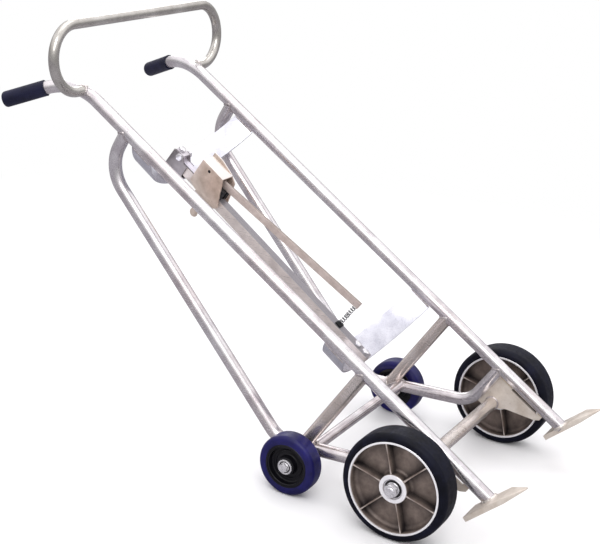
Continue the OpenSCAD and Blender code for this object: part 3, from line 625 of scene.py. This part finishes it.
# ---------- welds ----------
def bead(name, path, radius, material=None, closed=True):
    """A rippled weld bead along a path of points."""
    lengths = [0.0]
    for a, b in zip(path, path[1:]):
        lengths.append(lengths[-1] + (b - a).length)
    ripple = 0.0022
    radii = []
    for s in lengths:
        wave = 1 + 0.10 * math.sin(2 * math.pi * s / ripple) + rng.uniform(-0.07, 0.07)
        end = 1.0
        if not closed:
            end = min(1.0, 0.35 + min(s, lengths[-1] - s) / (radius * MM * 1.5))
        radii.append(radius * MM * wave * end)
    return add_piece(name, sweep(path, radii, 12, closed), "frame", material or WELD_METAL,
                     crease=80)


def tube_weld(name, start, direction, r, axis_point, axis_dir, axis_r, radius=2.6, material=None):
    """Bead where a tube of radius r meets another tube; start is a point on the first tube's axis,
    outside the second tube, and direction points at the second tube. Millimetres for radii."""
    direction, axis_dir = unit(direction), unit(axis_dir)
    a = unit(direction.orthogonal())
    b = direction.cross(a)
    path = []
    for i in range(120):
        angle = 2 * math.pi * i / 120
        base = start + r * MM * (math.cos(angle) * a + math.sin(angle) * b)
        rel = base - axis_point
        rel -= axis_dir * rel.dot(axis_dir)
        step = direction - axis_dir * direction.dot(axis_dir)
        qa, qb, qc = step.dot(step), 2 * rel.dot(step), rel.dot(rel) - (axis_r * MM) ** 2
        root = max(qb * qb - 4 * qa * qc, 0.0)
        path.append(base + direction * ((-qb - math.sqrt(root)) / (2 * qa)))
    return bead(name, path, radius, material)


for name, side in SIDES:
    rail_axis = rail_at(side * RAIL_X, 0, RAIL_N0)
    x = side * RAIL_X
    top_a, top_b = LEG_PATH[1], LEG_PATH[0]
    leg_top_dir = rail_dir(0, top_b[0] - top_a[0], top_b[1] - top_a[1])
    tube_weld(name + "_leg_top_weld", rail_at(x, *top_a), leg_top_dir, TUBE_R, rail_axis, RAIL_T, TUBE_R)
    tube_weld(name + "_leg_front_weld", rail_at(x, 43, 20), RAIL_N, TUBE_R, rail_axis, RAIL_T, TUBE_R)
    tube_weld(name + "_strut_top_weld", rail_at(x, STRUT_T, 0), RAIL_N, TUBE_R, rail_axis, RAIL_T, TUBE_R)
    leg_low = rail_at(x, LEG_PATH[2][0], LEG_PATH[2][1])
    leg_dir = rail_dir(0, LEG_PATH[3][0] - LEG_PATH[2][0], LEG_PATH[3][1] - LEG_PATH[2][1])
    outward = Vector((side, 0, 0))
    tube_weld(name + "_strut_foot_weld", rail_at(x, STRUT_T, -60), -RAIL_N, TUBE_R,
              leg_low, leg_dir, TUBE_R)
    tube_weld(name + "_cross_tube_weld", rail_at(side * 150, CROSS_T, CROSS_N), outward, CROSS_R,
              leg_low, leg_dir, TUBE_R, 2.2)
    tube_weld(name + "_loop_weld", loop_at(side * 290, 0), -outward, LOOP_R,
              rail_axis, RAIL_T, TUBE_R, 3.0)

GUSSET_HALF, GUSSET_BEAD, UNDER_RAIL_N = 3, 2.4, 73.3
TOE_BEAD = 4.2
for name, side in SIDES:
    path = []
    for i in range(100):
        angle = 2 * math.pi * i / 100
        x = side * (RAIL_X + TUBE_R * math.cos(angle))
        n = RAIL_N0 + TUBE_R * math.sin(angle)
        path.append(rail_at(x, TOE_T0 - (n - TOE_N0) * math.tan(TOE_LEAN), n))
    bead(name + "_toe_weld", path, TOE_BEAD, BARE_WELD)
    for face, way in (("outer", 1), ("inner", -1)):
        ring_x = side * (RAIL_X + way * GUSSET_HALF)
        ring = []
        for i in range(90):
            angle = 2 * math.pi * i / 90
            ring.append(rail_at(ring_x, TUBE_R * math.cos(angle), TUBE_R * math.sin(angle)))
        bead(name + "_axle_weld_" + face, ring, GUSSET_BEAD)
        line_x = side * (RAIL_X + way * (GUSSET_HALF + 0.2))
        for part, start, end in (("_gusset_weld_", -112, -98), ("_gusset_rail_weld_", -11, 26)):
            line = [rail_at(line_x, t, UNDER_RAIL_N) for t in steps(start, end)]
            bead(name + part + face, line, GUSSET_BEAD, BRASSY_WELD, False)


# ---------- grips ----------
for name, side in SIDES:
    foot, corner, end = rail_points(side)
    axis = unit(end - corner)
    mouth = end - axis * (GRIP_LEN - GRIP_END) * MM
    outline = [(TUBE_R + 0.1, 0), (GRIP_R - 0.6, 0)] + arc(GRIP_R - 1, 1.4, 1.4, -70, 40, 5)
    outline += [(GRIP_R, 4), (GRIP_R, GRIP_LEN - 30)]
    outline += arc(GRIP_R - 8, GRIP_LEN - 8, 8, 0, 84, 10)
    outline += [(CORE_R, GRIP_LEN), (CORE_R, GRIP_LEN - GRIP_END + 1), (TUBE_R + 0.1, GRIP_LEN - GRIP_END + 1)]
    sleeve = lathe(outline, mouth, axis, 64)
    add_piece(name + "_grip_sleeve", sleeve, "frame", GRIP_RUBBER, (name + "_grip",), 50)


# ---------- cross plates ----------
def strip(u, front_w):
    """Rolled strip: a rounded rectangle carried round the drum's curve."""
    reach = math.asin((RAIL_X - 4) / (PLATE_R + 2))
    soft = 0.8
    half_h, mid = PLATE_H / 2, PLATE_R + PLATE_T / 2
    section = []
    for cx, cy, a0 in ((PLATE_T / 2 - soft, half_h - soft, 0), (soft - PLATE_T / 2, half_h - soft, 90),
                       (soft - PLATE_T / 2, soft - half_h, 180), (PLATE_T / 2 - soft, soft - half_h, 270)):
        section += arc(cx, cy, soft, a0, a0 + 90, 3)
    rings = []
    count = 72
    for i in range(count + 1):
        angle = reach * (2 * i / count - 1)
        ring = []
        for out, up in section:
            r = mid + out
            ring.append(bar_at(r * math.sin(angle), u + up, front_w + PLATE_R - r * math.cos(angle)))
        rings.append(ring)
    return loft(rings)


LOWER_W = -BAR_W_MM - 0.36
UPPER_W = LOWER_W - 20.35
for name, u, w in (("lower", 7, LOWER_W), ("upper", 663.5, UPPER_W)):
    add_piece(name + "_cross_plate_strip", strip(u, w), "frame", STRIP_METAL,
              (name + "_cross_plate",))
    for side_name, side in SIDES:
        for face, r in (("front", PLATE_R), ("back", PLATE_R + PLATE_T)):
            angle = math.asin((RAIL_X - 6.5) / r)
            spots = steps(u - PLATE_H / 2 + 2, u + PLATE_H / 2 - 2)
            line = [bar_at(side * r * math.sin(angle), v, w + PLATE_R - r * math.cos(angle)) for v in spots]
            bead("_".join((name, "plate_weld", side_name, face)), line, 2.3, None, False)

# ---------- flat parts that keep the CAD's shape, with softened edges ----------
for node, width, body, material, slot in (
        ("left_toe_plate", 1.2, "frame", BARE_METAL, "bare_plate"),
        ("right_toe_plate", 1.2, "frame", BARE_METAL, "bare_plate"),
        ("left_axle_gusset", 0.5, "frame", BARE_METAL, "bare_plate"),
        ("right_axle_gusset", 0.5, "frame", BARE_METAL, "bare_plate"),
        ("rear_axle_plates", 0.8, "frame", STRUT_METAL, "axle_plate"),
        ("centre_bar", 1.4, "frame", BAR_METAL, "bar_steel"),
        ("bar_bracket", 0.5, "frame", BRACKET_METAL, "bar_steel"),
        ("bar_spacer", 0.8, "frame", BRACKET_METAL, "bar_steel"),
        ("bar_stop", 1.2, "frame", STOP_METAL, "bar_steel"),
        ("hook_carriage", 0.8, "carriage", HOOK_METAL, "hook_zinc"),
        ("carriage_keeper", 0.6, "carriage", HOOK_METAL, "hook_zinc"),
        ("carriage_guides", 0.6, "carriage", NYLON_BLACK, "black_plastic"),
        ("spring_foot", 0.8, "carriage", NYLON_BLACK, "black_plastic"),
        ("hook_lever", 0.8, "lever", LEVER_METAL, "lever_steel")):
    rounded(node, width, body, material)

# ---------- fasteners ----------
BOLT_FLATS, BOLT_HEAD, BOLT_NUT, BOLT_R, BOLT_TAIL = 17, 6.5, 8, 5, 3
LOWER_US, UPPER_BOLT_U, STOP_U, STOP_T = (-13, 13), 675, 662, 15


def bolt_set(head_at, axis, grip, turn):
    """Head and threaded shank of a bolt; axis points from the head's seat out through the head."""
    head = hex_solid(BOLT_FLATS, BOLT_HEAD, head_at, axis, 0, turn)
    shank = stud(BOLT_R, -0.5, grip + BOLT_NUT + BOLT_TAIL, grip - 4, head_at, -axis)
    return join(head, shank)


def nut_at(seat, axis, turn):
    return hex_solid(BOLT_FLATS, BOLT_NUT, seat, axis, 2 * BOLT_R + 0.1, turn)


lower_grip = GAP - LOWER_W + PLATE_T
upper_seat = STOP_T + 2 * GAP
upper_grip = upper_seat - UPPER_W + PLATE_T
bolts = [bolt_set(bar_at(0, u, GAP), BAR_W, lower_grip, turn) for u, turn in zip(LOWER_US, (0.3, 0.9))]
bolts.append(bolt_set(bar_at(0, UPPER_BOLT_U, upper_seat), BAR_W, upper_grip, 0.2))
add_piece("cross_plate_bolts_hex", join(*bolts), "frame", BRIGHT_METAL,
          ("cross_plate_bolts",))
nuts = [nut_at(bar_at(0, u, LOWER_W - PLATE_T - GAP), -BAR_W, 0.5) for u in LOWER_US]
nuts.append(nut_at(bar_at(0, UPPER_BOLT_U, UPPER_W - PLATE_T - GAP), -BAR_W, 0.1))
add_piece("cross_plate_nuts_hex", join(*nuts), "frame", BRIGHT_METAL,
          ("cross_plate_nuts",))
ACROSS = Vector((1, 0, 0))
BRACKET_X = 16.35               # outside of the bracket's cheeks, where the head and nut sit
stop_head = bar_at(-BRACKET_X, STOP_U, STOP_T / 2)
add_piece("stop_bolt_hex", bolt_set(stop_head, -ACROSS, 2 * BRACKET_X, 0.4), "frame", BRIGHT_METAL,
          ("stop_bolt",))
add_piece("stop_nut_hex", nut_at(bar_at(BRACKET_X, STOP_U, STOP_T / 2), ACROSS, 0.7), "frame",
          BRIGHT_METAL, ("stop_nut",))

# main axle, spacers, washers and nuts
NUT_X, NUT_H, AXLE_R = 340.1, 13, 9.5
axle_end = NUT_X + NUT_H + 1
AXLE_CHAMFER = 1.6
axle_line = [(CORE_R, -axle_end), (AXLE_R - AXLE_CHAMFER, -axle_end), (AXLE_R, AXLE_CHAMFER - axle_end),
             (AXLE_R, axle_end - AXLE_CHAMFER), (AXLE_R - AXLE_CHAMFER, axle_end), (CORE_R, axle_end)]
add_piece("main_axle_rod", lathe(axle_line, AXLE, ACROSS, 64), "frame", BRIGHT_METAL,
          ("main_axle",))


def both_sides(build):
    return join(*[build(side) for _, side in SIDES])


def ring_shape(inner, outer, start, end, centre, side, soft=0.5):
    profile = [(inner, start), (outer - soft, start), (outer, start + soft), (outer, end - soft),
               (outer - soft, end), (inner, end)]
    return lathe(profile, centre, Vector((side, 0, 0)), 64)


SPACER_X = (AXLE_REACH + 0.1, WHEEL_X - WHEEL_HALF + 2.9)
WASHER_X = (NUT_X - GAP - 3, NUT_X - GAP)
add_piece("axle_spacers_tube", both_sides(lambda s: ring_shape(9.6, 14, *SPACER_X, AXLE, s)), "frame",
          BRIGHT_METAL, ("axle_spacers",))
add_piece("axle_washers_disc", both_sides(lambda s: ring_shape(9.7, 16, *WASHER_X, AXLE, s)), "frame",
          BRIGHT_METAL, ("axle_washers",))
add_piece("axle_nuts_hex", both_sides(
    lambda s: hex_solid(28, NUT_H, AXLE + Vector((s * NUT_X * MM, 0, 0)), (s, 0, 0), 19.1, 0.35)),
    "frame", BRIGHT_METAL, ("axle_nuts",))

# rear axle bolts, washers, sleeves and nuts
REAR = centre_of("rear_axle_bolts")
SLEEVE_OUT = REAR_X + REAR_HALF + 1.5
AXLE_PLATE_HALF = 6
SLEEVE_IN = RAIL_X + AXLE_PLATE_HALF
REAR_HEAD_X = SLEEVE_OUT + 2.6


def rear_bolt(side):
    out = Vector((side, 0, 0))
    seat = REAR + out * REAR_HEAD_X * MM
    head = hex_solid(19, 8, seat, out, 0, 0.2)
    shank = stud(6, -0.5, REAR_HEAD_X - RAIL_X + 22, REAR_HEAD_X - RAIL_X + 2, seat, -out)
    return join(head, shank)


def rear_washers(side):
    """Outer washer with a rolled rim and a groove, and a plain inner one."""
    profile = [(6.1, SLEEVE_OUT + 0.05), (18, SLEEVE_OUT + 0.05), (18.5, SLEEVE_OUT + 0.6),
               (18, SLEEVE_OUT + 2.0), (16.6, SLEEVE_OUT + 2.4), (14.2, SLEEVE_OUT + 1.5),
               (11.8, SLEEVE_OUT + 1.5), (11.2, SLEEVE_OUT + 2.55), (6.1, SLEEVE_OUT + 2.55)]
    outer = lathe(profile, REAR, Vector((side, 0, 0)), 64)
    inner_x = REAR_X - REAR_HALF - 3.5
    return join(outer, ring_shape(9.1, 15, inner_x, inner_x + 2.5, REAR, side))


add_piece("rear_axle_bolts_hex", both_sides(rear_bolt), "frame", BRIGHT_METAL,
          ("rear_axle_bolts",))
add_piece("rear_axle_washers_disc", both_sides(rear_washers), "frame", BRIGHT_METAL,
          ("rear_axle_washers",))
# A thin black ring at the bottom of each outer washer's groove: painted shade in the groove.
add_piece("rear_axle_washer_seals", both_sides(
    lambda s: ring_shape(11.9, 14.4, SLEEVE_OUT + 1.2, SLEEVE_OUT + 1.75, REAR, s, 0.1)), "frame", SEAL_AND_GROOVE_SHADE)
add_piece("rear_axle_sleeves_tube", both_sides(lambda s: ring_shape(6.1, 9, SLEEVE_IN, SLEEVE_OUT, REAR, s)),
          "frame", BRIGHT_METAL, ("rear_axle_sleeves",))


def rear_nut(side):
    """Nut turned so that one flat lies along the leg's lower run."""
    seat = REAR + Vector((side * (RAIL_X - AXLE_PLATE_HALF - 0.1) * MM, 0, 0))
    return hex_solid(18, 10, seat, (-side, 0, 0), 12.1, math.radians(30 + 19.5 * side))


add_piece("rear_axle_nuts_hex", both_sides(rear_nut), "frame", BRIGHT_METAL,
          ("rear_axle_nuts",))


# ---------- main wheels ----------
def mirrored_profile(half):
    """Closed loop from half a profile, given from the bore outwards, with positive distances."""
    return half + [(r, -s) for r, s in reversed(half)]


def wheel_centre(side):
    return AXLE + Vector((side * WHEEL_X * MM, 0, 0))


def tyre(side):
    shoulder = 15
    half = [(RIM_R + 0.05, 0), (RIM_R + 0.05, WHEEL_HALF - 0.8), (RIM_R + 1.2, WHEEL_HALF - 0.5),
            (RIM_R + 2.4, WHEEL_HALF + 0.1)]
    half += arc(WHEEL_R - shoulder, WHEEL_HALF - shoulder, shoulder, 88, 0, 16)
    half += [(WHEEL_R, 14), (WHEEL_R + 0.25, 6), (WHEEL_R + 0.3, 0.4)]
    return lathe(mirrored_profile(half), wheel_centre(side), ACROSS, 160)


RIB_FROM, RIB_TO, RIB_TOP, RIB_SAG, RIB_FLARE = 30, 106, 32, 1.2, 0.9


def rib(side, face, angle):
    """One tapered rib on a face of the hub, from boss to rim, thicker where it meets them."""
    centre = wheel_centre(side)
    out = Vector((0, math.sin(angle), -math.cos(angle)))
    across = Vector((face, 0, 0))
    flat = across.cross(out)
    rings = []
    for r in (30, 34, 44, 60, 78, 94, 102, 105.5):
        flare = 1 + RIB_FLARE * (max(0.0, (r - 94) / 12) ** 2 + max(0.0, (44 - r) / 12) ** 2)
        top = RIB_TOP - RIB_SAG * math.sin(math.pi * (r - RIB_FROM) / (RIB_TO - RIB_FROM))
        section = ((3.2 * flare, 8), (2.0 * flare, 17), (1.5 * flare, top - 1), (1.0 * flare, top - 0.2),
                   (0, top), (-1.0 * flare, top - 0.2), (-1.5 * flare, top - 1), (-2.0 * flare, 17),
                   (-3.2 * flare, 8))
        rings.append([centre + MM * (r * out + y * flat + s * across) for y, s in section])
    return loft(rings)


RIB_PHASE, RIBS = math.radians(44), 6


def hub(side):
    half = [(11.5, 0), (11.5, 17.9), (23.55, 18), (23.55, 34.2), (24.3, WHEEL_HALF), (32, WHEEL_HALF),
            (33, 34), (34, 20)]
    half += arc(41, 17.5, 7, 180, 270, 6)
    half += [(60, 9.8), (80, 9.8)]
    half += arc(94, 19.5, 9.5, 270, 350, 7)
    half += [(104, 33.6), (104.8, WHEEL_HALF), (108.2, WHEEL_HALF), (RIM_R, 34.2)]
    body = lathe(mirrored_profile(half), wheel_centre(side), ACROSS, 144)
    ribs = [rib(side, face, RIB_PHASE + math.radians(60) * i) for face in (1, -1) for i in range(RIBS)]
    return join(body, *ribs)


def bearing_metal(side):
    """Outer and inner races of both bearings."""
    parts = []
    for face in (1, -1):
        axis = Vector((face, 0, 0))
        for inner, outer in ((20.6, 23.5), (9.55, 14.2)):
            profile = [(inner, 18.1), (outer, 18.1), (outer, 31.4), (outer - 0.6, 32), (inner + 0.4, 32),
                       (inner, 31.6)]
            parts.append(lathe(profile, wheel_centre(side), axis, 64))
    return join(*parts)


def bearing_seals(side):
    parts = []
    for face in (1, -1):
        profile = [(14.3, 19), (20.5, 19), (20.5, 31), (18.6, 30.8), (17.6, 30.2), (16.2, 30.8), (14.3, 31)]
        parts.append(lathe(profile, wheel_centre(side), Vector((face, 0, 0)), 64))
    return join(*parts)


for name, side in SIDES:
    body = name + "_main_wheel"
    add_piece(name + "_main_tyre_solid", tyre(side), body, TYRE_RUBBER,
              (name + "_main_tyre",), 60)
    add_piece(name + "_main_hub_casting", hub(side), body, HUB_METAL,
              (name + "_main_hub",), 32)
    add_piece(name + "_main_bearing_races", bearing_metal(side), body, BRIGHT_METAL,
              (name + "_main_bearings",))
    add_piece(name + "_main_bearing_seals", bearing_seals(side), body, SEAL_AND_GROOVE_SHADE)


# ---------- rear wheels ----------
def rear_centre(side):
    return REAR + Vector((side * REAR_X * MM, 0, 0))


def rear_tread(side):
    rounding = 11
    half = [(REAR_CORE_R + 0.05, 0), (REAR_CORE_R + 0.05, REAR_HALF - 0.6), (REAR_CORE_R + 1, REAR_HALF)]
    half += arc(REAR_R - rounding, REAR_HALF - rounding, rounding, 88, 0, 14)
    half += [(REAR_R + 0.2, 6), (REAR_R + 0.25, 0.4)]
    return lathe(mirrored_profile(half), rear_centre(side), ACROSS, 128)


def rear_core(side):
    half = [(9.05, 0), (9.05, 23.4), (9.6, REAR_HALF), (20.6, REAR_HALF), (21.6, 23.2), (22.2, 12)]
    half += arc(26, 10.8, 3.8, 180, 270, 4)
    half += [(32, 7), (33, 9.2), (35.5, 9.2), (36.5, 7)]
    half += arc(41.2, 10.8, 3.8, 270, 355, 4)
    half += [(45, 21.5), (46, 22.4), (48.4, 22.4), (49, REAR_HALF), (52.2, REAR_HALF), (REAR_CORE_R, 23.2)]
    return lathe(mirrored_profile(half), rear_centre(side), ACROSS, 112)


for name, side in SIDES:
    body = name + "_rear_wheel"
    add_piece(name + "_rear_tread_tyre", rear_tread(side), body, TREAD_BLUE,
              (name + "_rear_tread",), 50)
    add_piece(name + "_rear_core_moulding", rear_core(side), body, CORE_BLACK,
              (name + "_rear_core",), 40)

# ---------- hook pin, rivets, spacers and spring ----------
HOOK_HALF = 25


def pin_shape():
    profile = [(CORE_R, -HOOK_HALF), (3.4, -HOOK_HALF), (4, 0.6 - HOOK_HALF), (4, HOOK_HALF - 0.6),
               (3.4, HOOK_HALF), (CORE_R, HOOK_HALF)]
    return lathe(profile, bar_at(0, PIVOT_U, PIVOT_W), ACROSS, 40)


add_piece("hook_pivot_pin_rod", pin_shape(), "carriage", DARK_METAL, ("hook_pivot_pin",))


def rivet(side, u):
    profile = [(CORE_R, 13.4), (2.5, 13.4), (2.5, 24.6), (2.2, 25), (CORE_R, 25.15)]
    return lathe(profile, bar_at(0, u, -9), Vector((side, 0, 0)), 32)


add_piece("carriage_rivets_set", join(*[rivet(side, u) for _, side in SIDES for u in (524, 566)]),
          "carriage", HOOK_METAL, ("carriage_rivets",))
add_piece("pivot_spacers_tube", both_sides(
    lambda s: ring_shape(4.1, 6.5, 4.3, 20.8, bar_at(0, PIVOT_U, PIVOT_W), s)), "carriage",
    BRIGHT_METAL, ("pivot_spacers",))

SPRING_LOW, SPRING_HIGH, SPRING_COIL_R, WIRE_R, TURNS = 5.4, 68.6, 5, 1, 9
helix = []
for i in range(TURNS * 32 + 1):
    share = i / (TURNS * 32)
    eased = share - math.sin(4 * math.pi * share) * 0.018
    angle = 2 * math.pi * TURNS * share
    w = SPRING_LOW + WIRE_R + (SPRING_HIGH - SPRING_LOW - 2 * WIRE_R) * eased
    helix.append(bar_at(SPRING_COIL_R * math.cos(angle), SPRING_U + SPRING_COIL_R * math.sin(angle), w))
spring = add_piece("lever_spring_coil", sweep(helix, WIRE_R * MM, 14), "carriage", SPRING_METAL,
                   ("lever_spring",), 60)
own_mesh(spring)

# ---------- floor, light and camera ----------
FLOOR = 14.0
floor_mesh = bpy.data.meshes.new("studio_floor")
floor_corners = [(x * FLOOR, y * FLOOR, 0) for x, y in ((-1, -1), (1, -1), (1, 1), (-1, 1))]
floor_mesh.from_pydata(floor_corners, [], [(0, 1, 2, 3)])
floor = bpy.data.objects.new("studio_floor", floor_mesh)
bpy.context.scene.collection.objects.link(floor)
paper = Nodes("pale_floor")
paper_tone = paper.mix(paper.ramp(paper.noise(3, 2, 0.5), 0.3, 0.7), linear((252, 252, 252)),
                       linear((249, 249, 249)))
rays = paper.add("ShaderNodeLightPath")
# To glossy rays the floor shows mid grey: a painted darker reflection in the metal's lower sides, while the
# camera still sees it white.
paper_tone = paper.mix(rays.outputs["Is Glossy Ray"], paper_tone, linear((146, 144, 149)))
paper.finish(Base_Color=paper_tone, Roughness=0.9, Specular_IOR_Level=0.1)
far = paper.tree.nodes.new("ShaderNodeVectorMath")
far.operation = "LENGTH"
paper.put(far.inputs[0], paper.coords)
fade = paper.math("MULTIPLY", paper.ramp(far.outputs["Value"], 0.9, 2.4), rays.outputs["Is Camera Ray"])
glow = paper.add("ShaderNodeEmission", Color=(1, 1, 1, 1), Strength=1.0)
blend = paper.tree.nodes.new("ShaderNodeMixShader")
paper.put(blend.inputs[0], fade)
paper.put(blend.inputs[1], paper.surface.outputs[0])
paper.put(blend.inputs[2], glow.outputs[0])
paper.put(paper.tree.nodes["Material Output"].inputs["Surface"], blend.outputs[0])
floor_mesh.materials.append(paper.material)


def build_world():
    """White to the camera; to the metal, a bright ceiling over a darker band at eye level."""
    world = bpy.data.worlds.new("studio")
    bpy.context.scene.world = world
    world.use_nodes = True
    tree = world.node_tree
    tree.nodes.clear()
    coords = tree.nodes.new("ShaderNodeTexCoord")
    split = tree.nodes.new("ShaderNodeSeparateXYZ")
    tree.links.new(coords.outputs["Generated"], split.inputs[0])
    ramp = tree.nodes.new("ShaderNodeValToRGB")
    tree.links.new(split.outputs["Z"], ramp.inputs[0])
    stops = ((0.0, 0.42), (0.10, 0.30), (0.32, 0.72), (0.6, 1.05), (1.0, 1.0))
    ramp.color_ramp.elements[0].position = stops[0][0]
    ramp.color_ramp.elements[1].position = stops[-1][0]
    for place, _ in stops[1:-1]:
        ramp.color_ramp.elements.new(place)
    for element, (_, level) in zip(ramp.color_ramp.elements, stops):
        element.color = (level, level * 0.985, level * 1.01, 1)
    lit = tree.nodes.new("ShaderNodeBackground")
    tree.links.new(ramp.outputs[0], lit.inputs["Color"])
    lit.inputs["Strength"].default_value = 1.1
    seen = tree.nodes.new("ShaderNodeBackground")
    seen.inputs["Color"].default_value = (1, 1, 1, 1)
    path = tree.nodes.new("ShaderNodeLightPath")
    mix = tree.nodes.new("ShaderNodeMixShader")
    tree.links.new(path.outputs["Is Camera Ray"], mix.inputs[0])
    tree.links.new(lit.outputs[0], mix.inputs[1])
    tree.links.new(seen.outputs[0], mix.inputs[2])
    out = tree.nodes.new("ShaderNodeOutputWorld")
    tree.links.new(mix.outputs[0], out.inputs[0])


def soft_light(name, place, size, power):
    data = bpy.data.lights.new(name, "AREA")
    data.shape = "RECTANGLE"
    data.size, data.size_y = size
    data.energy = power
    obj = bpy.data.objects.new(name, data)
    bpy.context.scene.collection.objects.link(obj)
    obj.location = place
    aim = Vector((0, 0, 0.4)) - Vector(place)
    obj.rotation_euler = aim.to_track_quat("-Z", "Y").to_euler()


build_world()
soft_light("key", (-2.6, -1.2, 3.4), (2.2, 2.2), 40)
soft_light("top", (0.6, 0.4, 4.0), (3.0, 3.0), 30)
soft_light("back", (2.8, 2.4, 2.2), (1.6, 2.4), 20)

CAMERA_AZ, CAMERA_EL, CAMERA_ROLL = math.radians(-61.63), math.radians(19.31), math.radians(4.86)
CAMERA_FROM_AXLE = Vector((-2737.4, -1022.9, 1388.8))
back = Vector((math.sin(CAMERA_AZ) * math.cos(CAMERA_EL), -math.cos(CAMERA_AZ) * math.cos(CAMERA_EL),
               math.sin(CAMERA_EL)))
right = Vector((math.cos(CAMERA_AZ), math.sin(CAMERA_AZ), 0))
up = back.cross(right)
cos_roll, sin_roll = math.cos(CAMERA_ROLL), math.sin(CAMERA_ROLL)
rolled_right = cos_roll * right + sin_roll * up
rolled_up = cos_roll * up - sin_roll * right
camera_data = bpy.data.cameras.new("camera")
camera_data.lens = 80.61
camera_data.sensor_width = 36
camera_data.clip_end = 60
camera = bpy.data.objects.new("camera", camera_data)
bpy.context.scene.collection.objects.link(camera)
place = AXLE + CAMERA_FROM_AXLE * MM
camera.matrix_world = Matrix((
    (rolled_right.x, rolled_up.x, back.x, place.x),
    (rolled_right.y, rolled_up.y, back.y, place.y),
    (rolled_right.z, rolled_up.z, back.z, place.z),
    (0, 0, 0, 1)))
bpy.context.scene.camera = camera
bpy.context.scene.view_settings.view_transform = "Standard"
